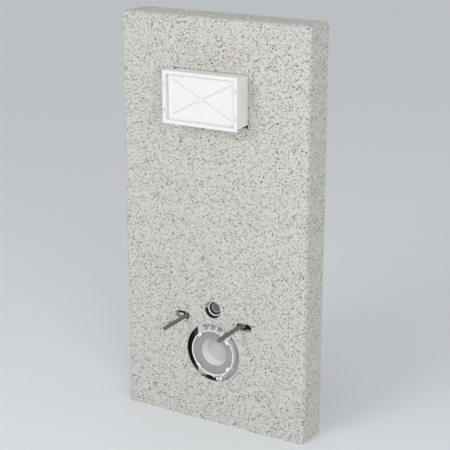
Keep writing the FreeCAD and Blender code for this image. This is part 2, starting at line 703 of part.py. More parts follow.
def clamp_ring():
    """The ring and the thin web that joins it to the pipe's mouth."""
    inside = CLAMP_RADIUS - CLAMP_WALL
    hub = DRAIN_PIPE_RADIUS + SEAT_CLEARANCE
    web_front = FRONT + DRAIN_MOUTH_DEPTH
    web_back = web_front + CLAMP_WEB
    outline = [
        (inside, CLAMP_FRONT), (CLAMP_RADIUS, CLAMP_FRONT), (CLAMP_RADIUS, CLAMP_BACK), (inside, CLAMP_BACK),
        (inside, web_back), (hub, web_back), (hub, web_front), (inside, web_front),
    ]
    return turned_y(outline, 0, DRAIN_HEIGHT)


def clamp_flange():
    """The flange at the ring's back, over its top and right side."""
    outside = CLAMP_FLANGE_RADIUS
    outline = [
        (CLAMP_ROOT, FLANGE_FRONT), (outside, FLANGE_FRONT), (outside, CLAMP_BACK), (CLAMP_ROOT, CLAMP_BACK),
    ]
    points = [vec(radius, y, DRAIN_HEIGHT) for radius, y in outline]
    section = round_drain(Part.Face(Part.makePolygon(points + points[:1])), CLAMP_FLANGE_TO)
    return section.revolve(vec(0, 0, DRAIN_HEIGHT), Y_AXIS, CLAMP_FLANGE_TO - CLAMP_FLANGE_FROM)


def clamp_ribs():
    """Sloping ribs between the ring and its flange."""
    y0 = CLAMP_FRONT + CLAMP_RIB_SETBACK
    y1 = FLANGE_FRONT + CLAMP_FLANGE_THICKNESS / 2
    top = CLAMP_FLANGE_RADIUS - CLAMP_RIB_DROP
    outline = [(CLAMP_ROOT, y0), (CLAMP_RADIUS, y0), (top, FLANGE_FRONT), (top, y1), (CLAMP_ROOT, y1)]
    low = DRAIN_HEIGHT - CLAMP_RIB_WIDTH / 2
    points = [vec(radius, y, low) for radius, y in outline]
    rib = Part.Face(Part.makePolygon(points + points[:1])).extrude(Z_AXIS * CLAMP_RIB_WIDTH)
    angles = [CLAMP_RIB_FIRST - index * CLAMP_RIB_PITCH for index in range(CLAMP_RIB_COUNT)]
    return [round_drain(rib.copy(), angle) for angle in angles]


def clamp_hooks():
    """Hooks that reach over the plug's flange, on the diagonals."""
    y0 = CLAMP_FRONT - CLAMP_HOOK_THICKNESS
    outside = CLAMP_RADIUS - CLAMP_HOOK_SETBACK
    hook = clamp_box(outside - CLAMP_HOOK_REACH, outside, y0, CLAMP_FRONT, CLAMP_HOOK_WIDTH)
    return [round_drain(hook.copy(), angle) for angle in CLAMP_HOOK_ANGLES]


def clamp_point(radius, degrees, y):
    """A point round the drain's axis at an angle from the right."""
    angle = math.radians(degrees)
    return vec(radius * math.cos(angle), y, DRAIN_HEIGHT + radius * math.sin(angle))


def clamp_tail():
    """The flat tail that leaves the ring low on the right and ends in a screwed foot."""
    y0 = CLAMP_FRONT + TAIL_SETBACK
    reach = DRAIN_HOLE_RADIUS - TAIL_CLEARANCE
    start = clamp_point(CLAMP_ROOT, TAIL_FROM, y0)
    end = clamp_point(reach - CLAMP_WALL, TAIL_TO, y0)
    run = (end - start).normalize()
    side = vec(-run.z, 0, run.x) * TAIL_THICKNESS
    tail = Part.Face(Part.makePolygon([start, end, end + side, start + side, start]))
    tail = tail.extrude(Y_AXIS * (CLAMP_BACK - y0))
    x0 = end.x - TAIL_FOOT_OVERLAP
    foot = slab(x0, x0 + TAIL_FOOT_LENGTH, y0, CLAMP_BACK, end.z, end.z + TAIL_FOOT_HEIGHT)
    screw_x = x0 + TAIL_FOOT_LENGTH / 2
    screw_z = end.z + TAIL_FOOT_HEIGHT / 2
    screw = rod_y(TAIL_SCREW_RADIUS, screw_x, screw_z, y0 - OVERCUT, y0 + TAIL_SCREW_DEPTH)
    bore = rod_y(reach, 0, DRAIN_HEIGHT, CLAMP_FRONT, CLAMP_BACK)
    ring = rod_y(CLAMP_ROOT, 0, DRAIN_HEIGHT, CLAMP_FRONT, CLAMP_BACK)
    return tail.fuse(foot).common(bore).cut([screw, ring])


def drain_plug():
    """The grey protective plug: a flange behind the hooks and a drafted cup in the drain's mouth."""
    rim = CLAMP_RADIUS - CLAMP_WALL - SEAT_CLEARANCE
    mouth = DRAIN_PLUG_CUP_RADIUS
    floor = mouth - DRAIN_PLUG_CUP_DRAFT
    wall = DRAIN_PLUG_WALL
    y1 = FRONT + DRAIN_MOUTH_DEPTH - DRAIN_PLUG_SEAT
    y0 = y1 - DRAIN_PLUG_FLANGE
    y_floor = y0 + DRAIN_PLUG_CUP_DEPTH
    plug = turned_y(
        [
            (mouth, y0), (rim, y0), (rim, y1), (mouth + wall, y1), (floor + wall, y_floor + wall),
            (0, y_floor + wall), (0, y_floor), (floor, y_floor),
        ],
        0, DRAIN_HEIGHT,
    )

    def ring_at(radius, y):
        return lambda edge: (
            edge.Curve.TypeId == "Part::GeomCircle"
            and abs(edge.Curve.Radius - radius) < SEAT_CLEARANCE
            and abs(edge.Curve.Center.y - y) < SEAT_CLEARANCE
        )

    plug = fillet_where(plug, DRAIN_PLUG_MOUTH_RADIUS, ring_at(mouth, y0))
    return fillet_where(plug, DRAIN_PLUG_FLOOR_RADIUS, ring_at(floor, y_floor))


def post(sign):
    """One upright rectangular tube, with through holes for the wider stud spacing."""
    wall = POST_WALL
    outer = slab(POST_INSIDE, POST_OUTSIDE, POST_FRONT, POST_BACK, FOOT_THICKNESS, POST_TOP)
    inner = slab(
        POST_INSIDE + wall, POST_OUTSIDE - wall, POST_FRONT + wall, POST_BACK - wall,
        FOOT_THICKNESS - OVERCUT, POST_TOP + OVERCUT,
    )
    outer = fillet_along(outer, POST_CORNER_RADIUS, Z_AXIS)
    inner = fillet_along(inner, POST_CORNER_RADIUS - wall, Z_AXIS)
    x = STUD_SPACING_WIDE / 2
    hole = rod_y(STUD_HOLE_RADIUS, x, STUD_HEIGHT, POST_FRONT - OVERCUT, POST_BACK + OVERCUT)
    return on_side(outer.cut([inner, hole]), sign)


def post_cap(sign):
    """The plastic cap on a post's open top."""
    cap = slab(POST_INSIDE, POST_OUTSIDE, POST_FRONT, POST_BACK, POST_TOP, POST_TOP + CAP_THICKNESS)
    return on_side(fillet_along(cap, POST_CORNER_RADIUS, Z_AXIS), sign)


def bolt_bar():
    """The square tube that carries the bowl studs, drilled for both spacings, with a stiffener below."""
    wall = BOLT_BAR_WALL
    width = 2 * (POST_OUTSIDE + BOLT_BAR_OVERHANG)
    outer = centred_slab(width, BOLT_BAR_HEIGHT, STUD_HEIGHT, BAR_FRONT, BAR_BACK)
    inner = centred_slab(
        width + 2 * OVERCUT, BOLT_BAR_HEIGHT - 2 * wall, STUD_HEIGHT, BAR_FRONT + wall, BAR_BACK - wall,
    )
    outer = fillet_along(outer, BOLT_BAR_CORNER_RADIUS, X_AXIS)
    inner = fillet_along(inner, BOLT_BAR_CORNER_RADIUS - wall, X_AXIS)
    low = STUD_HEIGHT - BOLT_BAR_HEIGHT / 2
    y0 = BAR_FRONT + STIFFENER_SETBACK
    strip = slab(
        -POST_INSIDE, POST_INSIDE, y0, y0 + STIFFENER_THICKNESS, low - STIFFENER_HEIGHT, low + wall / 2,
    )
    spacings = (STUD_SPACING, STUD_SPACING_WIDE)
    places = [sign * spacing / 2 for sign in SIDES.values() for spacing in spacings]
    through = (BAR_FRONT - OVERCUT, BAR_BACK + OVERCUT)
    holes = [rod_y(STUD_HOLE_RADIUS, x, STUD_HEIGHT, *through) for x in places]
    return outer.cut([inner] + holes).fuse(strip)


def top_bar():
    """The flat bar across the posts' backs, from one side of the recess to the other."""
    width = RECESS_WIDTH - 2 * SEAT_CLEARANCE
    return centred_slab(width, TOP_BAR_HEIGHT, TOP_BAR_CENTRE, POST_BACK, POST_BACK + TOP_BAR_THICKNESS)


def foot(sign):
    """The foot plate under a post, with its floor-anchor hole."""
    x0 = POST_INSIDE - FOOT_MARGIN
    y0 = POST_FRONT - FOOT_FRONT_MARGIN
    plate = slab(x0, x0 + FOOT_WIDTH, y0, y0 + FOOT_DEPTH, 0, FOOT_THICKNESS)
    plate = fillet_along(plate, FOOT_CORNER_RADIUS, Z_AXIS)
    y = (POST_FRONT + POST_BACK) / 2
    hole = rod_z(ANCHOR_HOLE_RADIUS, ANCHOR_SPACING / 2, y, -OVERCUT, FOOT_THICKNESS + OVERCUT)
    return on_side(plate.cut(hole), sign)


def wall_lug(sign):
    """The angle on a post's outer side that bolts to the wall behind."""
    z0, z1 = LUG_CENTRE - LUG_HEIGHT / 2, LUG_CENTRE + LUG_HEIGHT / 2
    leg = slab(POST_OUTSIDE, POST_OUTSIDE + LUG_THICKNESS, -LUG_LEG_DEPTH, 0, z0, z1)
    pad = slab(POST_OUTSIDE, POST_OUTSIDE + LUG_WIDTH, -LUG_THICKNESS, 0, z0, z1)
    hole = rod_y(ANCHOR_HOLE_RADIUS, ANCHOR_SPACING / 2, LUG_CENTRE, -LUG_THICKNESS - OVERCUT, OVERCUT)
    return on_side(leg.fuse(pad).cut(hole).removeSplitter(), sign)


def pipe_bracket(sign):
    """A shelf from a post to the drain's leg, with a curved saddle against the leg."""
    near = DRAIN_SPIGOT_RADIUS + SEAT_CLEARANCE
    low = BRACKET_TOP - SADDLE_HEIGHT
    shelf = slab(0, POST_INSIDE, POST_FRONT, POST_BACK, BRACKET_TOP - BRACKET_PLATE, BRACKET_TOP)
    saddle = rod_z(near + SADDLE_THICKNESS, 0, DRAIN_Y, low, BRACKET_TOP)
    keep = slab(near / 2, POST_INSIDE, POST_FRONT, POST_BACK, low, BRACKET_TOP)
    leg = rod_z(near, 0, DRAIN_Y, low - OVERCUT, BRACKET_TOP + OVERCUT)
    return on_side(shelf.fuse(saddle).common(keep).cut(leg).removeSplitter(), sign)


def stud(sign):
    """A long bowl stud with chamfered ends and a relief groove where it enters the casting."""
    y0 = FRONT - STUD_REACH
    y1 = WASHER_BACK + NUT_HEIGHT + STUD_TAIL
    groove = FRONT + STUD_RELIEF_LENGTH
    full = STUD_RADIUS
    thin = full - STUD_RELIEF_DEPTH
    tip = full - STUD_CHAMFER
    outline = [
        (0, y0), (tip, y0), (full, y0 + STUD_CHAMFER), (full, FRONT), (thin, FRONT), (thin, groove),
        (full, groove), (full, y1 - STUD_CHAMFER), (tip, y1), (0, y1),
    ]
    return turned_y(outline, sign * STUD_SPACING / 2, STUD_HEIGHT)


def stud_nut(sign, y0, y1):
    """A hexagon nut on a bowl stud, from y0 to y1, with bevelled corners."""
    x = sign * STUD_SPACING / 2
    corner = NUT_ACROSS_FLATS / math.sqrt(3)
    face = corner - NUT_BEVEL
    bevel = NUT_BEVEL * math.tan(math.radians(30))
    outline = [(0, y0), (face, y0), (corner, y0 + bevel), (corner, y1 - bevel), (face, y1), (0, y1)]
    nut = hexagon_prism(NUT_ACROSS_FLATS, y1 - y0, vec(x, y0, STUD_HEIGHT), Y_AXIS)
    hole = rod_y(STUD_RADIUS + THREAD_CLEARANCE, x, STUD_HEIGHT, y0 - OVERCUT, y1 + OVERCUT)
    return nut.common(turned_y(outline, x, STUD_HEIGHT)).cut(hole)


def stud_washer(sign):
    """The washer between the bolt bar and the rear nut."""
    x = sign * STUD_SPACING / 2
    hole = rod_y(STUD_RADIUS + SEAT_CLEARANCE, x, STUD_HEIGHT, BAR_BACK - OVERCUT, WASHER_BACK + OVERCUT)
    return rod_y(WASHER_RADIUS, x, STUD_HEIGHT, BAR_BACK, WASHER_BACK).cut(hole)


def water_inlet():
    """The brass nipple under the tank for the water supply."""
    end = CISTERN_BOTTOM - INLET_LENGTH
    body = hexagon_prism(INLET_HEX, INLET_LENGTH, vec(-INLET_OFFSET, FLUSH_Y, CISTERN_BOTTOM), -Z_AXIS)
    bore = rod_z(INLET_BORE_RADIUS, -INLET_OFFSET, FLUSH_Y, end - OVERCUT, end + INLET_BORE_LENGTH)
    way = rod_z(INLET_WAY_RADIUS, -INLET_OFFSET, FLUSH_Y, end, CISTERN_BOTTOM + OVERCUT)
    return body.cut([bore, way])


def pieces():
    """Every node's shape, by name."""
    made = {
        "block": block(),
        "drain_sleeve": drain_sleeve(),
        "flush_sleeve": flush_sleeve(),
        "service_shaft": service_shaft(),
        "service_cover": service_cover(),
        "cistern": cistern(),
        "flush_outlet": flush_outlet(),
        "flush_nut": flush_nut(),
        "flush_pipe": flush_pipe(),
        "flush_collar": flush_collar(),
        "flush_seal": flush_seal(),
        "flush_plug": flush_plug(),
        "drain_bend": drain_bend(),
        "drain_clamp": drain_clamp(),
        "drain_plug": drain_plug(),
        "bolt_bar": bolt_bar(),
        "top_bar": top_bar(),
        "water_inlet": water_inlet(),
    }
    for side, sign in SIDES.items():
        made["post_" + side] = post(sign)
        made["post_cap_" + side] = post_cap(sign)
        made["foot_" + side] = foot(sign)
        made["wall_lug_" + side] = wall_lug(sign)
        made["pipe_bracket_" + side] = pipe_bracket(sign)
        made["stud_" + side] = stud(sign)
        made["stud_nut_front_" + side] = stud_nut(sign, NUT_FRONT, BAR_FRONT)
        made["stud_washer_" + side] = stud_washer(sign)
        made["stud_nut_rear_" + side] = stud_nut(sign, WASHER_BACK, WASHER_BACK + NUT_HEIGHT)
    return made


def main():
    """Build every piece and write one STEP file for each."""
    os.makedirs("parts", exist_ok=True)
    for name, shape in pieces().items():
        print(name, len(shape.Solids), "valid" if shape.isValid() else "NOT VALID", round(shape.Volume))
        shape.exportStep(os.path.join("parts", name + ".step"))


main()
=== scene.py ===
"""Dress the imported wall-hung toilet installation block: finishes, fine pieces, studio and camera.

Everything is in metres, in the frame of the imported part: +Z is up, +Y points at the wall behind,
and the front of the casting looks along -Y.
"""

import json
import logging
import math
from abc import ABC, abstractmethod
from collections.abc import Callable, Sequence
from dataclasses import dataclass, field
from enum import Enum
from typing import Any

import bpy
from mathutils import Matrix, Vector


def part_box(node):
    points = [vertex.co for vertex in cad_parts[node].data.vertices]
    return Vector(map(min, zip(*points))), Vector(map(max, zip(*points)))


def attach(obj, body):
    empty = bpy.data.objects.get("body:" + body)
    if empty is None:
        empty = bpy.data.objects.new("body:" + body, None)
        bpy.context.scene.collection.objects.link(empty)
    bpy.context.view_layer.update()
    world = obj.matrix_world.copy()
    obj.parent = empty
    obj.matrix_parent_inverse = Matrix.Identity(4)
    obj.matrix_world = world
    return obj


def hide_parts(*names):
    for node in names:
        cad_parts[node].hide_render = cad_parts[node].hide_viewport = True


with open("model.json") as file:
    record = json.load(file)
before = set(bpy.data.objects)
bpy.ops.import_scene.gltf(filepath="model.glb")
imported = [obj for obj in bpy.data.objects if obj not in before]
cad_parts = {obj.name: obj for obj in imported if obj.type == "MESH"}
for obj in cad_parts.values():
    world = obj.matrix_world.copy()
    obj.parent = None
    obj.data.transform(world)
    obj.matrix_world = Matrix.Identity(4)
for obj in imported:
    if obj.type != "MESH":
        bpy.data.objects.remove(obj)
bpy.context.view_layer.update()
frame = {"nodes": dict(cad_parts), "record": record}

BODY = "root"
MM = 0.001
LOG = logging.getLogger("installation_block")

Pair = tuple[float, float]
Triple = tuple[float, float, float]
Socket = bpy.types.NodeSocket
Ring = list[Vector]
Seam = tuple[Vector, Vector]

OUTWARD = Vector((0.0, -1.0, 0.0))
DRAIN_HEIGHT = 222.0 * MM
FLUSH_HEIGHT = 357.0 * MM

# The corners of a square, in order.
SQUARE = ((-1, -1), (1, -1), (1, 1), (-1, 1))
# Most values of a noise lie between these two.
NOISE_BAND: Pair = (0.3, 0.7)


class Slot(Enum):
    """The record's material slots."""

    STONE = "flecked_stone"
    SHELL = "white_shell"
    TANK = "tank_plastic"
    BLACK = "black_plastic"
    RUBBER = "seal_rubber"
    PLUG = "plug_plastic"
    CAP = "cap_plastic"
    PAINT = "frame_paint"
    ZINC = "zinc_steel"
    BRASS = "inlet_brass"


class Side(Enum):
    """The two sides of the block, seen from its front, as the nodes spell them."""

    LEFT = "left"
    RIGHT = "right"


@dataclass(frozen=True)
class Pattern:
    """A noise in object space.

    Attributes:
        scale: Features per metre.
        detail: Octaves of finer noise.
        roughness: How strong the finer octaves are.
        seed: Tells one noise from another of the same scale.
        stretch: A further factor on the scale along each axis, or None.
    """

    scale: float
    detail: float = 1.0
    roughness: float = 0.5
    seed: float = 0.0
    stretch: Triple | None = None


class Painter:
    """Adds shader nodes to one material and links them."""

    def __init__(self, name: str) -> None:
        """Start a material with a plain principled shader.

        Args:
            name: The material's name.
        """
        self.material = bpy.data.materials.new(name)
        self.material.use_nodes = True
        self.tree = self.material.node_tree
        self.shader = self.tree.nodes["Principled BSDF"]
        self.place = self.add("ShaderNodeTexCoord").outputs["Object"]

    def feed(self, socket: Socket, value: Any) -> None:
        """Link a socket to another one, or set its plain value.

        Args:
            socket: The input to fill.
            value: An output socket, a number, a vector or a colour.
        """
        if isinstance(value, Socket):
            self.tree.links.new(value, socket)
        elif socket.type == "RGBA":
            socket.default_value = (*value, 1.0)
        else:
            socket.default_value = value

    def add(self, kind: str, inputs: dict[str | int, Any] | None = None, **settings: Any) -> bpy.types.Node:
        """Add a node.

        Args:
            kind: The node's type name.
            inputs: Values or sockets for its inputs, by name or index.
            **settings: Attributes of the node.

        Returns:
            The new node.
        """
        node = self.tree.nodes.new(kind)
        for key, value in settings.items():
            setattr(node, key, value)
        for key, value in (inputs or {}).items():
            self.feed(node.inputs[key], value)
        return node

    def set(self, **inputs: Any) -> None:
        """Fill the shader's inputs; an underscore in a name stands for a space."""
        for key, value in inputs.items():
            self.feed(self.shader.inputs[key.replace("_", " ")], value)

    def stretched(self, scale: Triple) -> Socket:
        """Object coordinates scaled along each axis."""
        return self.add("ShaderNodeMapping", {"Vector": self.place, "Scale": scale}).outputs["Vector"]

    def noise(self, pattern: Pattern) -> Socket:
        """A noise value around a half.

        Args:
            pattern: What the noise is like.

        Returns:
            The value.
        """
        place = self.stretched(pattern.stretch) if pattern.stretch else self.place
        inputs = {"Vector": place, "W": pattern.seed, "Scale": pattern.scale}
        inputs |= {"Detail": pattern.detail, "Roughness": pattern.roughness}
        return self.add("ShaderNodeTexNoise", inputs, noise_dimensions="4D").outputs["Fac"]

    def maths(self, operation: str, first: Any, second: Any) -> Socket:
        """The result of one sum on two values."""
        return self.add("ShaderNodeMath", {0: first, 1: second}, operation=operation).outputs[0]

    def along(self, axis: str) -> Socket:
        """The object coordinate along X, Y or Z."""
        return self.add("ShaderNodeSeparateXYZ", {"Vector": self.place}).outputs[axis]

    def from_axis(self, height: float) -> Socket:
        """The distance from a line at a height, which runs from front to back in the middle of the width."""
        ends = {0: self.stretched((1.0, 0.0, 1.0)), 1: (0.0, 0.0, height)}
        return self.add("ShaderNodeVectorMath", ends, operation="DISTANCE").outputs["Value"]

    def span(self, value: Any, source: Pair, target: Pair = (0.0, 1.0)) -> Socket:
        """A value carried from one range to another and stopped at its ends."""
        ends = {"From Min": source[0], "From Max": source[1], "To Min": target[0], "To Max": target[1]}
        return self.add("ShaderNodeMapRange", {"Value": value, **ends}).outputs["Result"]

    def mix(self, share: Any, first: Any, second: Any) -> Socket:
        """Two colours blended; the share says how much of the second shows."""
        # The node has sockets of one name for each type, so its colours go by index.
        return self.add("ShaderNodeMix", {0: share, 6: first, 7: second}, data_type="RGBA").outputs[2]

    def bump(self, height: Any, depth: float, strength: float, under: Socket | None = None) -> Socket:
        """Turn a height into a bent normal.

        Args:
            height: A value from 0 to 1.
            depth: What a height of 1 stands for, in metres.
            strength: How strongly it shows.
            under: A bent normal to add to, or None.

        Returns:
            The normal.
        """
        node = self.add("ShaderNodeBump", {"Height": height, "Distance": depth, "Strength": strength})
        if under is not None:
            self.feed(node.inputs["Normal"], under)
        return node.outputs["Normal"]


@dataclass(frozen=True)
class Finish(ABC):
    """A surface finish for one slot; each kind paints its own nodes."""

    slot: Slot

    def material(self) -> bpy.types.Material:
        """Build the finish's material.

        Returns:
            The material, named after its slot.
        """
        painter = Painter(self.slot.value)
        self.paint(painter)
        return painter.material

    @abstractmethod
    def paint(self, painter: Painter) -> None:
        """Add the finish's nodes to a material."""


@dataclass(frozen=True)
class Flecks:
    """Scattered flecks of random size and tone, with ragged rims; lengths are shares of their spacing.

    Attributes:
        tones: The two colours that their tones lie between.
        scale: Places for a fleck per metre.
        share: How many of those places have one.
        size: The largest radius.
        least: The smallest radius, under 0 so that some vanish.
        edge: How wide a fleck's soft edge is.
        rim: How far its rim strays.
        rim_scale: How much finer than the spacing it strays.
    """

    tones: tuple[Triple, Triple]
    scale: float
    share: float
    size: float
    least: float = -0.1
    edge: float = 0.08
    rim: float = 0.2
    rim_scale: float = 2.5

    def lay(self, painter: Painter, ground: Socket) -> tuple[Socket, Socket]:
        """Lay the flecks over a colour.

        Args:
            painter: The material being painted.
            ground: The colour between the flecks.

        Returns:
            The new colour, and a value that is 0 between the flecks and 1 inside them.
        """
        cells = painter.add("ShaderNodeTexVoronoi", {"Vector": painter.place, "Scale": self.scale})
        chance = painter.add("ShaderNodeSeparateColor", {"Color": cells.outputs["Color"]}).outputs
        limit = painter.span(chance["Red"], (1.0 - self.share, 1.0), (self.least, self.size))
        stray = painter.noise(Pattern(self.rim_scale * self.scale))
        rim = painter.span(stray, (0.0, 1.0), (-self.rim, self.rim))
        depth = painter.maths("SUBTRACT", painter.maths("ADD", limit, rim), cells.outputs["Distance"])
        inside = painter.span(depth, (0.0, self.edge))
        return painter.mix(inside, ground, painter.mix(chance["Green"], *self.tones)), inside


@dataclass(frozen=True)
class FleckedStone(Finish):
    """Pale cast stone with warm and cool clouds, pale chips, ragged grey flecks and fewer dark ones."""

    warm: Triple = (0.628, 0.604, 0.554)
    cool: Triple = (0.560, 0.554, 0.541)
    clouds: Pattern = Pattern(38.0, 4.0, 0.6)
    cloud_range: Pair = (0.35, 0.65)
    chip: Triple = (0.690, 0.678, 0.640)
    chips: Pattern = Pattern(230.0, 2.0, 0.55, seed=1.0)
    chip_range: Pair = (0.56, 0.615)
    greys: Flecks = Flecks(((0.292, 0.264, 0.208), (0.255, 0.251, 0.242)), 250.0, share=1.2, size=0.62)
    darks: Flecks = Flecks(((0.140, 0.123, 0.086), (0.120, 0.117, 0.112)), 165.0, share=0.36, size=0.50)
    roughness: Pair = (0.86, 1.0)
    grain: Pattern = Pattern(900.0, 2.0)
    grain_depth: float = 0.25 * MM
    grain_strength: float = 0.3
    pit_depth: float = 0.5 * MM
    pit_strength: float = 0.2

    def paint(self, painter: Painter) -> None:
        """Lay clouded ground, chips, grey flecks and sunken dark flecks over each other.

        Args:
            painter: The material being painted.
        """
        clouds = painter.span(painter.noise(self.clouds), self.cloud_range)
        chips = painter.span(painter.noise(self.chips), self.chip_range)
        colour = painter.mix(chips, painter.mix(clouds, self.cool, self.warm), self.chip)
        colour, _ = self.greys.lay(painter, colour)
        colour, pits = self.darks.lay(painter, colour)
        grain = painter.noise(self.grain)
        normal = painter.bump(grain, self.grain_depth, self.grain_strength)
        level = painter.maths("SUBTRACT", 1.0, pits)
        painter.set(
            Base_Color=colour,
            Roughness=painter.span(grain, NOISE_BAND, self.roughness),
            Normal=painter.bump(level, self.pit_depth, self.pit_strength, under=normal),
        )


@dataclass(frozen=True)
class StainedSkin(Finish):
    """A skin whose stains change its colour and roughness, over a fine relief."""

    colour: Triple
    stain: Triple
    roughness: Pair
    stains: Pattern
    # Where in its pattern a stain begins and where it is full.
    stain_range: Pair
    relief: Pattern
    relief_depth: float
    relief_strength: float
    stain_share: float = 1.0
    metallic: float = 0.0
    shine: float = 0.5

    def paint(self, painter: Painter) -> None:
        """Stain the colour, vary the roughness and bend the surface.

        Args:
            painter: The material being painted.
        """
        stains = painter.noise(self.stains)
        painter.set(
            Base_Color=self.tone(painter, stains),
            Metallic=self.metallic,
            Roughness=painter.span(stains, NOISE_BAND, self.roughness),
            Normal=painter.bump(painter.noise(self.relief), self.relief_depth, self.relief_strength),
            Specular_IOR_Level=self.shine,
        )

    def tone(self, painter: Painter, stains: Socket) -> Socket:
        """The stained colour, from the stains' noise."""
        share = painter.span(stains, self.stain_range, (0.0, self.stain_share))
        return painter.mix(share, self.colour, self.stain)


@dataclass(frozen=True)
class MouldedPlastic(StainedSkin):
    """Moulded plastic with faint flow clouds and a fine spark-eroded grain."""

    colour: Triple = (0.830, 0.826, 0.820)
    stain: Triple = (0.805, 0.802, 0.799)
    roughness: Pair = (0.48, 0.60)
    stains: Pattern = Pattern(14.0, 4.0, 0.55)
    stain_range: Pair = (0.35, 0.65)
    relief: Pattern = Pattern(1400.0)
    relief_depth: float = 0.05 * MM
    relief_strength: float = 0.35
    shine: float = 0.35


@dataclass(frozen=True)
class ShellPlastic(MouldedPlastic):
    """White shell plastic; the creases of the service cover are painted darker, as painted shade."""

    crease_shade: Triple = (0.62, 0.62, 0.62)
    crease_shade_share: float = 0.8
    shade_start_share: float = 0.2
    panel_front: float = -162.0 * MM
    crease_depth: float = 1.9 * MM

    def tone(self, painter: Painter, stains: Socket) -> Socket:
        """Paint shade into what lies under the front of the cover's panel: the walls and floors of its
        creases.

        Args:
            painter: The material being painted.
            stains: The noise of the flow clouds.

        Returns:
            The colour.
        """
        low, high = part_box("service_cover")
        top, floor = [self.panel_front + share * self.crease_depth for share in (self.shade_start_share, 1.0)]
        # Painted shade: darker with depth below the panel's front, only inside the cover's outline.
        crease_shading = painter.span(painter.along("Y"), (top, floor), (0.0, self.crease_shade_share))
        for axis, start, end in (("X", low.x, high.x), ("Z", low.z, high.z)):
            place = painter.along(axis)
            for test, limit in (("GREATER_THAN", start), ("LESS_THAN", end)):
                crease_shading = painter.maths("MULTIPLY", crease_shading, painter.maths(test, place, limit))
        return painter.mix(crease_shading, super().tone(painter, stains), self.crease_shade)


@dataclass(frozen=True)
class PipePlastic(MouldedPlastic):
    """Extruded black pipe with streaks along its run and a dusty bloom."""

    streaks: Pattern = Pattern(1.0, 2.0, stretch=(260.0, 260.0, 6.0))
    streak_range: Pair = (0.4, 0.6)
    streak_share: float = 0.4
    bloom: Triple = (0.055, 0.054, 0.050)
    bloom_range: Pair = (0.52, 0.75)
    bloom_share: float = 0.6

    def tone(self, painter: Painter, stains: Socket) -> Socket:
        """Dust the colour and streak it along the pipe.

        Args:
            painter: The material being painted.
            stains: The noise of the bloom.

        Returns:
            The colour.
        """
        bloom = painter.span(stains, self.bloom_range, (0.0, self.bloom_share))
        streaks = painter.span(painter.noise(self.streaks), self.streak_range, (0.0, self.streak_share))
        return painter.mix(streaks, painter.mix(bloom, self.colour, self.bloom), self.stain)


@dataclass(frozen=True)
class PlugPlastic(MouldedPlastic):
    """Round protective plug whose rim and the rings inside it take different tones by radius."""

    axis_height: float = 0.0
    # The radius and the colour of each zone inside the rim, the widest first.
    zones: tuple[tuple[float, Triple], ...] = ()
    zone_edge: float = 0.6 * MM

    def tone(self, painter: Painter, stains: Socket) -> Socket:
        """Cloud the rim and change the colour inside each zone's radius.

        Args:
            painter: The material being painted.
            stains: The noise of the flow clouds.

        Returns:
            The colour.
        """
        radius = painter.from_axis(self.axis_height)
        colour = super().tone(painter, stains)
        for limit, inside in self.zones:
            share = painter.span(radius, (limit - self.zone_edge, limit), (1.0, 0.0))
            colour = painter.mix(share, colour, inside)
        return colour


@dataclass(frozen=True)
class PowderCoat(StainedSkin):
    """Black powder coat with its orange peel and a little site dirt."""

    colour: Triple = (0.014, 0.014, 0.015)
    stain: Triple = (0.075, 0.073, 0.068)
    roughness: Pair = (0.42, 0.62)
    stains: Pattern = Pattern(22.0, 6.0, 0.7)
    stain_range: Pair = (0.55, 0.78)
    relief: Pattern = Pattern(420.0)
    relief_depth: float = 0.12 * MM
    relief_strength: float = 0.5
    stain_share: float = 0.5


@dataclass(frozen=True)
class SealRubber(StainedSkin):
    """Black rubber with a pale bloom and a fine skin."""

    colour: Triple = (0.012, 0.012, 0.012)
    stain: Triple = (0.050, 0.050, 0.052)
    roughness: Pair = (0.68, 0.88)
    stains: Pattern = Pattern(70.0, 5.0, 0.65)
    stain_range: Pair = (0.45, 0.8)
    relief: Pattern = Pattern(1500.0)
    relief_depth: float = 0.06 * MM
    relief_strength: float = 0.4
    stain_share: float = 0.7


@dataclass(frozen=True)
class TurnedMetal(StainedSkin):
    """Turned or plated metal with drawing marks from front to back and darker stains."""

    roughness: Pair = (0.38, 0.58)
    stains: Pattern = Pattern(90.0, 5.0, 0.65)
    stain_range: Pair = (0.4, 0.7)
    relief: Pattern = Pattern(1.0, 2.0, stretch=(700.0, 40.0, 700.0))
    relief_depth: float = 0.04 * MM
    relief_strength: float = 0.35
    metallic: float = 1.0


@dataclass(frozen=True)
class PlatedSteel(TurnedMetal):
    """Dull zinc plating on the rods, painted lighter on the nuts and washers behind the wall as painted
    light.
    """

    painted_light_tone: Triple = (0.60, 0.60, 0.61)
    margin: float = 0.5 * MM

    def tone(self, painter: Painter, stains: Socket) -> Socket:
        """Paint light onto the metal from the front nuts backwards.

        Args:
            painter: The material being painted.
            stains: The noise of the stains.

        Returns:
            The colour.
        """
        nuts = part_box("stud_nut_front_left")[0].y
        # Painted light: a lighter tone from just in front of the front nuts backwards.
        share = painter.span(painter.along("Y"), (nuts - 2 * self.margin, nuts - self.margin))
        return painter.mix(share, super().tone(painter, stains), self.painted_light_tone)


@dataclass(frozen=True)
class PlainFloor:
    """A plain pale floor."""

    colour: Triple = (0.80, 0.83, 0.845)
    roughness: float = 0.9

    def material(self) -> bpy.types.Material:
        """Build the floor's material.

        Returns:
            The material.
        """
        painter = Painter("pale_floor")
        painter.set(Base_Color=self.colour, Roughness=self.roughness)
        return painter.material


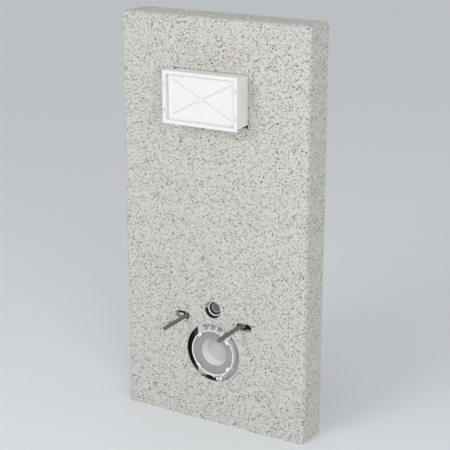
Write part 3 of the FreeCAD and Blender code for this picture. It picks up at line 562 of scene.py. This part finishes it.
FINISHES: tuple[Finish, ...] = (
    FleckedStone(Slot.STONE),
    ShellPlastic(Slot.SHELL),
    # The cistern's plastic is painted near black as painted shade, so the gap round the service shaft, where
    # it shows, reads dark.
    MouldedPlastic(Slot.TANK, (0.060, 0.060, 0.063), (0.046, 0.046, 0.049), roughness=(0.50, 0.65)),
    PipePlastic(Slot.BLACK, (0.010, 0.010, 0.011), (0.020, 0.020, 0.021), roughness=(0.42, 0.60)),
    SealRubber(Slot.RUBBER),
    PlugPlastic(
        Slot.PLUG, (0.340, 0.342, 0.344), (0.314, 0.316, 0.319), axis_height=DRAIN_HEIGHT,
        zones=((43.2 * MM, (0.74, 0.745, 0.755)), (37.4 * MM, (0.53, 0.532, 0.536))),
    ),
    PlugPlastic(
        Slot.CAP, (0.420, 0.421, 0.424), (0.390, 0.391, 0.394), axis_height=FLUSH_HEIGHT,
        # The cap's middle is painted darker as painted shade in its recess.
        zones=((11.6 * MM, (0.165, 0.166, 0.168)),),
    ),
    PowderCoat(Slot.PAINT),
    PlatedSteel(Slot.ZINC, (0.222, 0.224, 0.229), (0.150, 0.150, 0.155)),
    TurnedMetal(Slot.BRASS, (0.72, 0.50, 0.20), (0.50, 0.33, 0.13), roughness=(0.25, 0.42)),
)


class MeshDraft:
    """Points and faces gathered for one piece."""

    def __init__(self) -> None:
        """Start with nothing."""
        self.points: list[Vector] = []
        self.faces: list[tuple[int, ...]] = []

    def skin(self, rings: Sequence[Ring], closed: bool) -> None:
        """Stretch a skin over rings that have the same number of points.

        Args:
            rings: The rings in order.
            closed: Whether the last ring joins the first; otherwise both ends are capped.
        """
        start = len(self.points)
        count = len(rings[0])
        for ring in rings:
            self.points.extend(ring)
        for row in range(len(rings) if closed else len(rings) - 1):
            here = start + row * count
            there = start + (row + 1) % len(rings) * count
            for i in range(count):
                j = (i + 1) % count
                self.faces.append((here + i, here + j, there + j, there + i))
        if not closed:
            last = start + (len(rings) - 1) * count
            self.faces.append(tuple(range(start + count - 1, start - 1, -1)))
            self.faces.append(tuple(range(last, last + count)))

    def piece(self, name: str, smooth: float) -> bpy.types.Object:
        """Turn the draft into an object in the scene.

        Args:
            name: The piece's name.
            smooth: The sharpest angle that is shaded smooth, in degrees.

        Returns:
            The new object.
        """
        mesh = bpy.data.meshes.new(name)
        mesh.from_pydata(self.points, [], self.faces)
        mesh.validate()
        made = bpy.data.objects.new(name, mesh)
        bpy.context.scene.collection.objects.link(made)
        bpy.context.view_layer.objects.active = made
        made.select_set(True)
        bpy.ops.object.mode_set(mode="EDIT")
        bpy.ops.mesh.select_all(action="SELECT")
        bpy.ops.mesh.normals_make_consistent(inside=False)
        bpy.ops.object.mode_set(mode="OBJECT")
        bpy.ops.object.shade_smooth_by_angle(angle=math.radians(smooth))
        made.select_set(False)
        return made


def circle(centre: Vector, radius: float, first: Vector, second: Vector, count: int) -> Ring:
    """A ring of points round a centre, in the plane of two unit vectors."""
    steps = [2 * math.pi * i / count for i in range(count)]
    return [centre + radius * (math.cos(a) * first + math.sin(a) * second) for a in steps]


def bead_rings(
    path: Sequence[Vector], radius: Callable[[float], float], sides: int, closed: bool = False
) -> list[Ring]:
    """Rings of a round bead along a path.

    Args:
        path: Points close together.
        radius: The bead's radius at a length along the path.
        sides: Points in each ring.
        closed: Whether the path joins up.

    Returns:
        The rings in order.
    """
    rings: list[Ring] = []
    run = 0.0
    count = len(path)
    up: Vector | None = None
    for i, point in enumerate(path):
        before = path[i - 1] if closed or i else path[0]
        after = path[(i + 1) % count] if closed or i + 1 < count else path[-1]
        along = (after - before).normalized()
        up = along.orthogonal().normalized() if up is None else (up - up.dot(along) * along).normalized()
        run += (point - path[i - 1]).length if i else 0.0
        rings.append(circle(point, radius(run), up, along.cross(up), sides))
    return rings


def straight_run(start: Vector, end: Vector, step: float) -> list[Vector]:
    """Evenly spaced points from one place to another, about a step apart."""
    count = max(2, round((end - start).length / step))
    return [start.lerp(end, i / count) for i in range(count + 1)]


def lathe_rings(outline: Sequence[Pair], base: Vector, axis: Vector, count: int) -> list[Ring]:
    """Rings of a turned form.

    Args:
        outline: Radius and distance along the axis, in order.
        base: The axis' starting point.
        axis: The unit vector along it.
        count: Points in each ring.

    Returns:
        The rings in order.
    """
    first = axis.orthogonal().normalized()
    second = axis.cross(first)
    return [circle(base + along * axis, radius, first, second, count) for radius, along in outline]


def front_middle(low: Vector, high: Vector) -> Vector:
    """The middle of a box's front side."""
    return Vector(((low.x + high.x) / 2, low.y, (low.z + high.z) / 2))


def groove(phase: float, slope: float = 2.4, flat: float = 0.1) -> float:
    """How deep a thread is at a phase of its turn, from 0 on the flat crest to 1 in the flat root."""
    return min(1.0, max(0.0, slope * abs(phase % 1.0 - 0.5) - flat))


@dataclass
class Workshop:
    """Holds the finishes, dresses the nodes and makes new pieces."""

    finishes: Sequence[Finish]
    materials: dict[Slot, bpy.types.Material] = field(init=False)

    def __post_init__(self) -> None:
        """Build every finish once."""
        self.materials = {finish.slot: finish.material() for finish in self.finishes}

    def dress_nodes(self) -> None:
        """Give each carried-over node the finish of its slot in the record."""
        for part in frame["record"]["subparts"]:
            node = frame["nodes"][part["node"]]
            node.data.materials.clear()
            node.data.materials.append(self.materials[Slot(part["material_slot"])])
            LOG.info("node %s in %s", part["node"], part["material_slot"])

    def make(
        self, name: str, slot: Slot, skins: Sequence[Sequence[Ring]], *replaced: str,
        closed: bool = False, smooth: float = 35.0,
    ) -> None:
        """Make a piece, dress it and let it ride on the part.

        Args:
            name: The piece's name.
            slot: The slot whose finish it takes.
            skins: The rings of each of its skins.
            *replaced: Nodes that it stands for.
            closed: Whether each skin's last ring joins its first.
            smooth: The sharpest angle that is shaded smooth, in degrees.
        """
        draft = MeshDraft()
        for rings in skins:
            draft.skin(rings, closed)
        piece = draft.piece(name, smooth)
        piece.data.materials.append(self.materials[slot])
        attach(piece, BODY)
        if replaced:
            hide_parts(*replaced)
        LOG.info("piece %s in %s", piece.name, slot.value)


class SubAssembly(ABC):
    """Fine pieces that belong together."""

    @abstractmethod
    def build(self, shop: Workshop) -> None:
        """Have the workshop make the pieces."""


@dataclass(frozen=True)
class GateMark:
    """The small dimpled nub that a moulding keeps where it was filled."""

    radius: float = 1.7 * MM
    height: float = 0.4 * MM
    root: float = 0.2 * MM
    # Shares of the radius and the height, from the nub's edge to its dimple.
    profile: tuple[Pair, ...] = ((1.0, 0.5), (0.85, 1.0), (0.5, 1.0), (0.35, 0.4))
    sides: int = 24

    def rings(self, base: Vector) -> list[Ring]:
        """Rings of the nub on a face that looks to the front.

        Args:
            base: The nub's middle on that face.

        Returns:
            The rings from the face outwards.
        """
        outline = [(self.radius, -self.root)]
        outline += [(across * self.radius, out * self.height) for across, out in self.profile]
        return lathe_rings(outline, base, OUTWARD, self.sides)


@dataclass
class ServiceBox(SubAssembly):
    """The cover's clip tongues in the shaft's slits, and the cover's gate mark."""

    slit_from_edge: float = 5.5 * MM
    slit_spacing: float = 72.0 * MM
    slit_depth: float = 6.0 * MM
    tongue_length: float = 5.0 * MM
    tongue_thickness: float = 1.1 * MM
    tongue_sink: float = 3.2 * MM
    tongue_bevel: float = 0.3 * MM
    gate: GateMark = GateMark()

    def build(self, shop: Workshop) -> None:
        """Make the four tongues and the gate mark.

        Args:
            shop: The workshop that makes them.
        """
        low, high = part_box("service_shaft")
        middle = (low + high) / 2
        across, up = high.x - self.slit_from_edge, self.slit_spacing / 2
        mouths = [Vector((x * across, low.y, middle.z + z * up)) for x, z in SQUARE]
        shop.make("cover_clips", Slot.SHELL, [self.tongue_rings(mouth) for mouth in mouths])
        boss = Vector((middle.x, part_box("service_cover")[0].y, middle.z))
        shop.make("cover_gate_mark", Slot.SHELL, [self.gate.rings(boss)])

    def tongue_rings(self, mouth: Vector) -> list[Ring]:
        """Rings of one bevelled tongue, from the slit's floor to just under its mouth.

        Args:
            mouth: The middle of the slit's mouth.

        Returns:
            The rings from back to front.
        """
        top = self.tongue_sink
        levels = [(self.slit_depth, 0.0), (top + self.tongue_bevel, 0.0), (top, self.tongue_bevel)]
        rings: list[Ring] = []
        for depth, inset in levels:
            half_x = self.tongue_thickness / 2 - inset
            half_z = self.tongue_length / 2 - inset
            rings.append([mouth + Vector((x * half_x, depth, z * half_z)) for x, z in SQUARE])
        return rings


@dataclass
class BowlStuds(SubAssembly):
    """The threaded rods that carry the bowl."""

    pitch: float = 1.75 * MM
    thread_depth: float = 0.6 * MM
    end_round: float = 1.8 * MM
    steps_per_turn: int = 6
    sides: int = 32
    smooth: float = 50.0

    def build(self, shop: Workshop) -> None:
        """Make both rods.

        Args:
            shop: The workshop that makes them.
        """
        for side in Side:
            node = "stud_" + side.value
            rings = self.thread_rings(*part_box(node))
            shop.make("threaded_rod_" + side.value, Slot.ZINC, [rings], node, smooth=self.smooth)

    def thread_rings(self, low: Vector, high: Vector) -> list[Ring]:
        """Rings of a rod whose radius follows a thread round and along it.

        Args:
            low: The rod's lowest corner.
            high: The rod's highest corner.

        Returns:
            The rings from front to back.
        """
        centre = (low + high) / 2
        full = (high.x - low.x) / 2
        count = round((high.y - low.y) / self.pitch * self.steps_per_turn)
        rings: list[Ring] = []
        for row in range(count + 1):
            y = low.y + (high.y - low.y) * row / count
            inner = self.end_round - min(self.end_round, y - low.y, high.y - y)
            limit = full - self.end_round + math.sqrt(self.end_round**2 - inner**2)
            ring: Ring = []
            for i in range(self.sides):
                turn = i / self.sides
                angle = 2 * math.pi * turn
                radius = min(limit, full - self.thread_depth * groove(y / self.pitch - turn))
                x, z = centre.x + radius * math.cos(angle), centre.z + radius * math.sin(angle)
                ring.append(Vector((x, y, z)))
            rings.append(ring)
        return rings


@dataclass
class LoadFrame(SubAssembly):
    """Weld beads where the bars, feet, lugs and brackets meet the posts."""

    bead: float = 2.2 * MM
    bead_sides: int = 8
    ripple: float = 2.6 * MM
    ripple_share: float = 0.16
    end_share: float = 0.25
    step: float = 0.65 * MM
    inset: float = 3.0 * MM
    smooth: float = 60.0

    def build(self, shop: Workshop) -> None:
        """Make the welds of both posts.

        Args:
            shop: The workshop that makes them.
        """
        for side in Side:
            welds = [self.weld_rings(start, end) for start, end in self.seams(side)]
            shop.make("frame_welds_" + side.value, Slot.PAINT, welds, smooth=self.smooth)

    def weld_rings(self, start: Vector, end: Vector) -> list[Ring]:
        """Rings of one weld, rippled along its run and tapered at both ends.

        Args:
            start: Where the weld starts.
            end: Where it ends.

        Returns:
            The rings in order.
        """
        length = (end - start).length

        def radius(run: float) -> float:
            """The weld's radius at a length along it."""
            ripple = 1 - self.ripple_share * abs(math.sin(math.pi * run / self.ripple))
            taper = min(1.0, self.end_share + min(run, length - run) / (2 * self.bead))
            return self.bead * ripple * taper

        return bead_rings(straight_run(start, end, self.step), radius, self.bead_sides)

    def seams(self, side: Side) -> list[Seam]:
        """Where one post's welds start and end.

        Args:
            side: The post's side.

        Returns:
            Pairs of points.
        """
        low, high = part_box("post_" + side.value)
        inner, outer = sorted((low.x, high.x), key=abs)
        runs: list[Seam] = []
        for bar, y in (("bolt_bar", low.y), ("top_bar", high.y)):
            runs += [self.across(low, high, y, corner.z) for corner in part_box(bar)]
        runs += [self.across(low, high, y, low.z) for y in (low.y, high.y)]
        runs += [self.along(x, low, high, low.z) for x in (inner, outer)]
        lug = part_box("wall_lug_" + side.value)
        runs += [self.along(outer, lug[0], high, corner.z) for corner in lug]
        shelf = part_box("pipe_bracket_" + side.value)
        runs.append(self.along(inner, *shelf, shelf[1].z))
        return runs

    def across(self, low: Vector, high: Vector, y: float, z: float) -> Seam:
        """A weld across a post's width at a depth and height."""
        return Vector((low.x + self.inset, y, z)), Vector((high.x - self.inset, y, z))

    def along(self, x: float, low: Vector, high: Vector, z: float) -> Seam:
        """A weld along a post's side, from one depth to another."""
        return Vector((x, low.y + self.inset, z)), Vector((x, high.y - self.inset, z))


@dataclass
class FlushSet(SubAssembly):
    """The lipped collar, sealing beads on the flush seal's cone, and the plug's gate mark."""

    # Radius and depth of the lip's corners, from the collar's face round to its bore.
    lip: tuple[Pair, ...] = (
        (20.8 * MM, 0.0), (19.0 * MM, 2.4 * MM), (19.1 * MM, 2.6 * MM), (20.3 * MM, 0.95 * MM),
    )
    bore: float = 20.5 * MM
    bevel: float = 0.8 * MM
    cone_depth: float = 7.0 * MM
    cone_radius: float = 15.2 * MM
    beads: int = 3
    bead: float = 0.45 * MM
    bead_sides: int = 8
    clear_steps: int = 2
    steps: int = 64
    plug_dish: float = 3.0 * MM
    gate: GateMark = GateMark(radius=1.3 * MM)

    def build(self, shop: Workshop) -> None:
        """Make the collar, the beads and the gate mark.

        Args:
            shop: The workshop that makes them.
        """
        collar = self.collar_sections(*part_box("flush_collar"))
        shop.make("lipped_collar", Slot.SHELL, [collar], "flush_collar", closed=True)
        low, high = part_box("flush_seal")
        mouth = front_middle(low, high)
        beads = [self.bead_sections(mouth, high.x - mouth.x, number) for number in range(self.beads)]
        shop.make("seal_beads", Slot.RUBBER, beads, closed=True)
        dish = Vector((mouth.x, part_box("flush_plug")[0].y + self.plug_dish, mouth.z))
        shop.make("flush_plug_gate_mark", Slot.CAP, [self.gate.rings(dish)])

    def collar_sections(self, low: Vector, high: Vector) -> list[Ring]:
        """Sections of the collar, whose thin lip lies over the seal's edge.

        Args:
            low: The collar's lowest corner.
            high: The collar's highest corner.

        Returns:
            The sections in order round the mouth.
        """
        outer = (high.x - low.x) / 2
        depth = high.y - low.y
        outline = [(outer, depth), (outer, self.bevel), (outer - self.bevel, 0.0), *self.lip]
        outline += [(self.bore, self.bevel), (self.bore, depth)]
        rings = lathe_rings(outline, front_middle(low, high), -OUTWARD, self.steps)
        return [list(section) for section in zip(*rings)]

    def bead_sections(self, mouth: Vector, rim: float, number: int) -> list[Ring]:
        """Sections of one sealing bead.

        Args:
            mouth: The middle of the seal's mouth.
            rim: The cone's radius at the mouth.
            number: The bead's number, counted inwards from 0.

        Returns:
            The sections in order round the cone.
        """
        share = (number + self.clear_steps) / (self.beads + self.clear_steps)
        radius = rim * (1 - share) + self.cone_radius * share
        middle = mouth - share * self.cone_depth * OUTWARD
        path = circle(middle, radius, Vector((1, 0, 0)), Vector((0, 0, 1)), self.steps)
        return bead_rings(path, lambda run: self.bead, self.bead_sides, closed=True)


@dataclass(frozen=True)
class DrainBend(SubAssembly):
    """The butt welds of the drain bend, a pipe of mitred lengths that starts behind the casting's front."""

    cuts: int = 4
    radius: float = 50.0 * MM
    start: float = 3.0 * MM
    pipe_radius: float = 48.0 * MM
    bead: float = 1.6 * MM
    bead_sides: int = 10
    # In degrees to each side of the bend's outermost line.
    bead_reach: float = 128.0
    bead_steps: int = 72

    @property
    def start_y(self) -> float:
        """Where the bend starts, from front to back."""
        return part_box("block")[0].y + self.start

    def build(self, shop: Workshop) -> None:
        """Make the welds.

        Args:
            shop: The workshop that makes them.
        """
        for cut in range(self.cuts):
            rings = bead_rings(self.bead_path(cut), lambda run: self.bead, self.bead_sides)
            shop.make(f"drain_weld_{cut + 1}", Slot.BLACK, [rings])

    def bead_path(self, cut: int) -> list[Vector]:
        """The line of one butt weld, round the outer side of its mitre.

        Args:
            cut: The mitre's number from the mouth.

        Returns:
            Points close together.
        """
        turn = math.pi / 2 / self.cuts
        angle = (cut + 0.5) * turn
        centre = Vector((0.0, self.start_y, DRAIN_HEIGHT - self.radius))
        outward = Vector((0.0, math.sin(angle), math.cos(angle)))
        corner = centre + outward * (self.radius / math.cos(turn / 2))
        points: list[Vector] = []
        for i in range(self.bead_steps + 1):
            a = math.radians(self.bead_reach * (2 * i / self.bead_steps - 1))
            reach = outward * (self.pipe_radius / math.cos(turn / 2) * math.cos(a))
            points.append(corner + reach + Vector((self.pipe_radius * math.sin(a), 0.0, 0.0)))
        return points


@dataclass
class DrainClamp(SubAssembly):
    """The clamp's screw, the saddle between its tail and the pipe, and the web beside its first rib."""

    bend: DrainBend = DrainBend()
    # The screw lies in a hole whose mouth is here; its cross has arms twice cross_width wide.
    foot: Triple = (20.48 * MM, -106.0 * MM, 144.37 * MM)
    hole_depth: float = 8.0 * MM
    head: float = 2.45 * MM
    head_sink: float = 0.3 * MM
    dome: float = 0.5 * MM
    cross_width: float = 0.35 * MM
    cross_reach: float = 1.5 * MM
    cross_depth: float = 0.9 * MM
    head_sides: int = 64
    head_rows: int = 14
    head_smooth: float = 30.0
    # The saddle turns by degrees from the pipe's front, and reaches from the flange up to the tail.
    saddle_radius: float = 46.9 * MM
    saddle_thickness: float = 1.5 * MM
    saddle_turn: Pair = (19.0, 57.0)
    saddle_steps: int = 16
    flange_reach: float = 92.0 * MM
    tail_place: Pair = (16.0 * MM, 139.5 * MM)
    tail_slope: float = 1.08
    # Radius and degrees of the web's corners: on the ring, on the rib and at the rib's root.
    web: tuple[Pair, ...] = ((69.5 * MM, 136.0), (84.0 * MM, 119.5), (69.5 * MM, 119.5))
    web_wall: float = 2.6 * MM
    web_front: float = -100.0 * MM
    web_floor: float = -80.15 * MM
    web_back: float = -77.15 * MM

    def build(self, shop: Workshop) -> None:
        """Make the screw, the saddle and the web.

        Args:
            shop: The workshop that makes them.
        """
        shop.make("clamp_screw", Slot.ZINC, [self.screw_rings()], smooth=self.head_smooth)
        shop.make("clamp_saddle", Slot.SHELL, [self.saddle_rings()])
        shop.make("clamp_corner", Slot.SHELL, self.web_skins())

    def screw_rings(self) -> list[Ring]:
        """Rings of a domed screw head with a cross recess, sunk in the foot's hole.

        Returns:
            The rings from the hole's floor to the middle of the head.
        """
        base = Vector(self.foot) - self.hole_depth * OUTWARD
        height = self.hole_depth - self.head_sink
        shank = [(self.head, 0.0), (self.head, height - self.dome)]
        rings = lathe_rings(shank, base, OUTWARD, self.head_sides)
        first = OUTWARD.orthogonal().normalized()
        second = OUTWARD.cross(first)
        for row in range(1, self.head_rows):
            radius = self.head * (1 - row / self.head_rows)
            rise = height - self.dome * (radius / self.head) ** 2
            ring: Ring = []
            for i in range(self.head_sides):
                angle = 2 * math.pi * i / self.head_sides
                u, v = radius * math.cos(angle), radius * math.sin(angle)
                arm = min(abs(u), abs(v)) < self.cross_width and radius < self.cross_reach
                ring.append(base + u * first + v * second + (rise - arm * self.cross_depth) * OUTWARD)
            rings.append(ring)
        return rings

    def saddle_rings(self) -> list[Ring]:
        """Sections of the thin saddle that runs from the clamp's tail round the upright pipe.

        Returns:
            The sections from the foot to the clamp's flange.
        """
        axis_y = self.bend.start_y + self.bend.radius
        inner, outer = self.saddle_radius, self.saddle_radius + self.saddle_thickness
        start, end = self.saddle_turn
        rings: list[Ring] = []
        for i in range(self.saddle_steps + 1):
            turn = math.radians(start + (end - start) * i / self.saddle_steps)
            ring: Ring = []
            for radius, upper in ((inner, False), (outer, False), (outer, True), (inner, True)):
                x = radius * math.sin(turn)
                tail = self.tail_place[1] + self.tail_slope * (x - self.tail_place[0])
                edge = DRAIN_HEIGHT - math.sqrt(self.flange_reach**2 - x**2)
                ring.append(Vector((x, axis_y - radius * math.cos(turn), tail if upper else edge)))
            rings.append(ring)
        return rings

    def web_skins(self) -> list[list[Ring]]:
        """The web's floor and wall, in the corner between the clamp's ring and its first rib.

        Returns:
            The outline of each at its front and at its back.
        """
        axis = Vector((0.0, 0.0, DRAIN_HEIGHT))
        turns = [(radius, math.radians(degrees)) for radius, degrees in self.web]
        start, end, root = [axis + r * Vector((math.cos(a), 0.0, math.sin(a))) for r, a in turns]
        inward = Vector((end.z - start.z, 0.0, start.x - end.x)).normalized() * self.web_wall
        floor = (start, end, root)
        wall = (start, end, end + inward, start + inward)
        return [
            [[point + Vector((0.0, y, 0.0)) for point in outline] for y in (front, self.web_back)]
            for outline, front in ((floor, self.web_floor), (wall, self.web_front))
        ]


@dataclass
class DrainPlug(SubAssembly):
    """The drawn drain plug and its gate mark."""

    radius: float = 66.8 * MM
    flange: float = 3.0 * MM
    wall: float = 1.6 * MM
    edge_bend: float = 1.0 * MM
    cup_radius: float = 43.5 * MM
    cup_mouth: float = 2.5 * MM
    cup_floor: float = 38.0 * MM
    cup_centre: float = 2.0 * MM
    sides: int = 128
    gate: GateMark = GateMark()

    def build(self, shop: Workshop) -> None:
        """Make the plug and its gate mark.

        Args:
            shop: The workshop that makes them.
        """
        low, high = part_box("drain_plug")
        shop.make("drawn_plug", Slot.PLUG, [self.plug_rings(low.y, high.y)], "drain_plug")
        floor = Vector((0.0, high.y - self.wall, DRAIN_HEIGHT))
        shop.make("drain_plug_gate_mark", Slot.PLUG, [self.gate.rings(floor)])

    def plug_rings(self, front: float, back: float) -> list[Ring]:
        """Rings of the drawn plug: cup floor, drafted wall, rounded mouth, flange, and its back.

        Args:
            front: Where the flange's face lies.
            back: Where the cup's floor ends.

        Returns:
            The rings from the middle of the floor round to the middle of its back.
        """
        wall, mouth, bend = self.wall, self.cup_mouth, self.edge_bend
        rim, cup, floor = self.radius, self.cup_radius, self.cup_floor
        deep = back - front - wall
        # The middle of a quarter round stands this share of its radius off its corner.
        off = 1 - math.sin(math.pi / 4)
        outline = [
            (self.cup_centre, deep),
            (floor - bend, deep), (floor - bend * off, deep - bend * off), (floor, deep - bend),
            (cup, mouth), (cup + mouth * off, mouth * off), (cup + mouth, 0.0),
            (rim - bend, 0.0), (rim - bend * off, bend * off), (rim, bend),
            (rim, self.flange), (cup + wall, self.flange),
            (floor + wall, deep + wall), (self.cup_centre, deep + wall),
        ]
        return lathe_rings(outline, Vector((0.0, front, DRAIN_HEIGHT)), -OUTWARD, self.sides)


@dataclass
class SupplySet(SubAssembly):
    """The pipe thread in the brass inlet's bore."""

    pitch: float = 1.814 * MM
    depth: float = 0.8 * MM
    bore_radius: float = 9.3 * MM
    bore_length: float = 16.0 * MM
    root: float = 0.2 * MM
    margin: float = 0.5 * MM
    steps_per_turn: int = 8
    sides: int = 48
    smooth: float = 50.0

    def build(self, shop: Workshop) -> None:
        """Make the thread.

        Args:
            shop: The workshop that makes it.
        """
        low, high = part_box("water_inlet")
        mouth = Vector(((low.x + high.x) / 2, (low.y + high.y) / 2, low.z))
        sections = [self.section(mouth, i / self.sides) for i in range(self.sides)]
        shop.make("inlet_thread", Slot.BRASS, [sections], closed=True, smooth=self.smooth)

    def section(self, mouth: Vector, turn: float) -> Ring:
        """The thread's section at one place round the bore.

        Args:
            mouth: The middle of the bore's mouth.
            turn: How far round, from 0 to 1.

        Returns:
            The section's outline.
        """
        reach = self.bore_length - 2 * self.margin
        count = round(reach / self.pitch * self.steps_per_turn)
        levels = [self.margin + reach * row / count for row in range(count + 1)]
        depths = [self.depth * (1 - groove(z / self.pitch - turn)) for z in levels]
        outline = [(self.bore_radius - depth, z) for depth, z in zip(depths, levels)]
        outline += [(self.bore_radius + self.root, z) for z in (levels[-1], levels[0])]
        angle = 2 * math.pi * turn
        ray = Vector((math.cos(angle), math.sin(angle), 0.0))
        return [mouth + radius * ray + Vector((0.0, 0.0, z)) for radius, z in outline]


@dataclass(frozen=True)
class Softbox:
    """A square lamp that faces a point."""

    name: str
    place: Triple
    power: float
    size: float = 1.6
    aim: Triple = (0.0, -0.1, 0.65)

    def hang(self) -> None:
        """Hang the lamp where its own square can't be seen."""
        lamp = bpy.data.lights.new(self.name, "AREA")
        lamp.energy = self.power
        lamp.size = self.size
        box = bpy.data.objects.new(self.name, lamp)
        box.location = self.place
        box.rotation_euler = (Vector(self.place) - Vector(self.aim)).to_track_quat("Z", "Y").to_euler()
        box.visible_camera = False
        bpy.context.scene.collection.objects.link(box)


@dataclass
class Studio:
    """The floor, the lamps and the camera."""

    floor_size: float = 60.0
    floor: PlainFloor = PlainFloor()
    camera_place: Triple = (1.7704, -3.0496, 1.7042)
    yaw: float = 30.424
    pitch: float = 17.595
    focal_pixels: float = 1272.0
    frame_pixels: float = 450.0
    sensor: float = 36.0
    sky: Triple = (0.985, 0.99, 1.0)
    sky_strength: float = 0.62
    lamps: tuple[Softbox, ...] = (
        Softbox("key", (-0.9, -3.7, 2.5), 48.0),
        Softbox("fill", (2.9, -2.9, 1.9), 44.0),
    )

    def build(self) -> None:
        """Set the stage."""
        self.lay_floor()
        self.light_room()
        for lamp in self.lamps:
            lamp.hang()
        self.place_camera()
        bpy.context.scene.view_settings.view_transform = "Standard"

    def lay_floor(self) -> None:
        """Lay the pale floor under the part."""
        half = self.floor_size / 2
        mesh = bpy.data.meshes.new("floor")
        mesh.from_pydata([(x * half, y * half, 0.0) for x, y in SQUARE], [], [(0, 1, 2, 3)])
        floor = bpy.data.objects.new("floor", mesh)
        bpy.context.scene.collection.objects.link(floor)
        floor.data.materials.append(self.floor.material())

    def light_room(self) -> None:
        """Light the room evenly from all sides."""
        world = bpy.data.worlds.new("soft_room")
        world.use_nodes = True
        sky = world.node_tree.nodes["Background"]
        sky.inputs["Color"].default_value = (*self.sky, 1.0)
        sky.inputs["Strength"].default_value = self.sky_strength
        bpy.context.scene.world = world

    def place_camera(self) -> None:
        """Stand the camera where the photograph was taken."""
        lens = bpy.data.cameras.new("camera")
        lens.sensor_fit = "HORIZONTAL"
        lens.sensor_width = self.sensor
        lens.lens = self.sensor * self.focal_pixels / self.frame_pixels
        camera = bpy.data.objects.new("camera", lens)
        camera.location = self.camera_place
        camera.rotation_euler = (math.radians(90.0 - self.pitch), 0.0, math.radians(self.yaw))
        bpy.context.scene.collection.objects.link(camera)
        bpy.context.scene.camera = camera


def main() -> None:
    """Build the camera and studio, dress the nodes and add the fine pieces."""
    logging.basicConfig(level=logging.INFO, format="%(name)s: %(message)s")
    Studio().build()
    shop = Workshop(FINISHES)
    shop.dress_nodes()
    assemblies: tuple[SubAssembly, ...] = (
        ServiceBox(), BowlStuds(), LoadFrame(), FlushSet(),
        DrainBend(), DrainClamp(), DrainPlug(), SupplySet(),
    )
    for assembly in assemblies:
        LOG.info("assembly %s", type(assembly).__name__)
        assembly.build(shop)


if __name__ == "__main__":
    main()
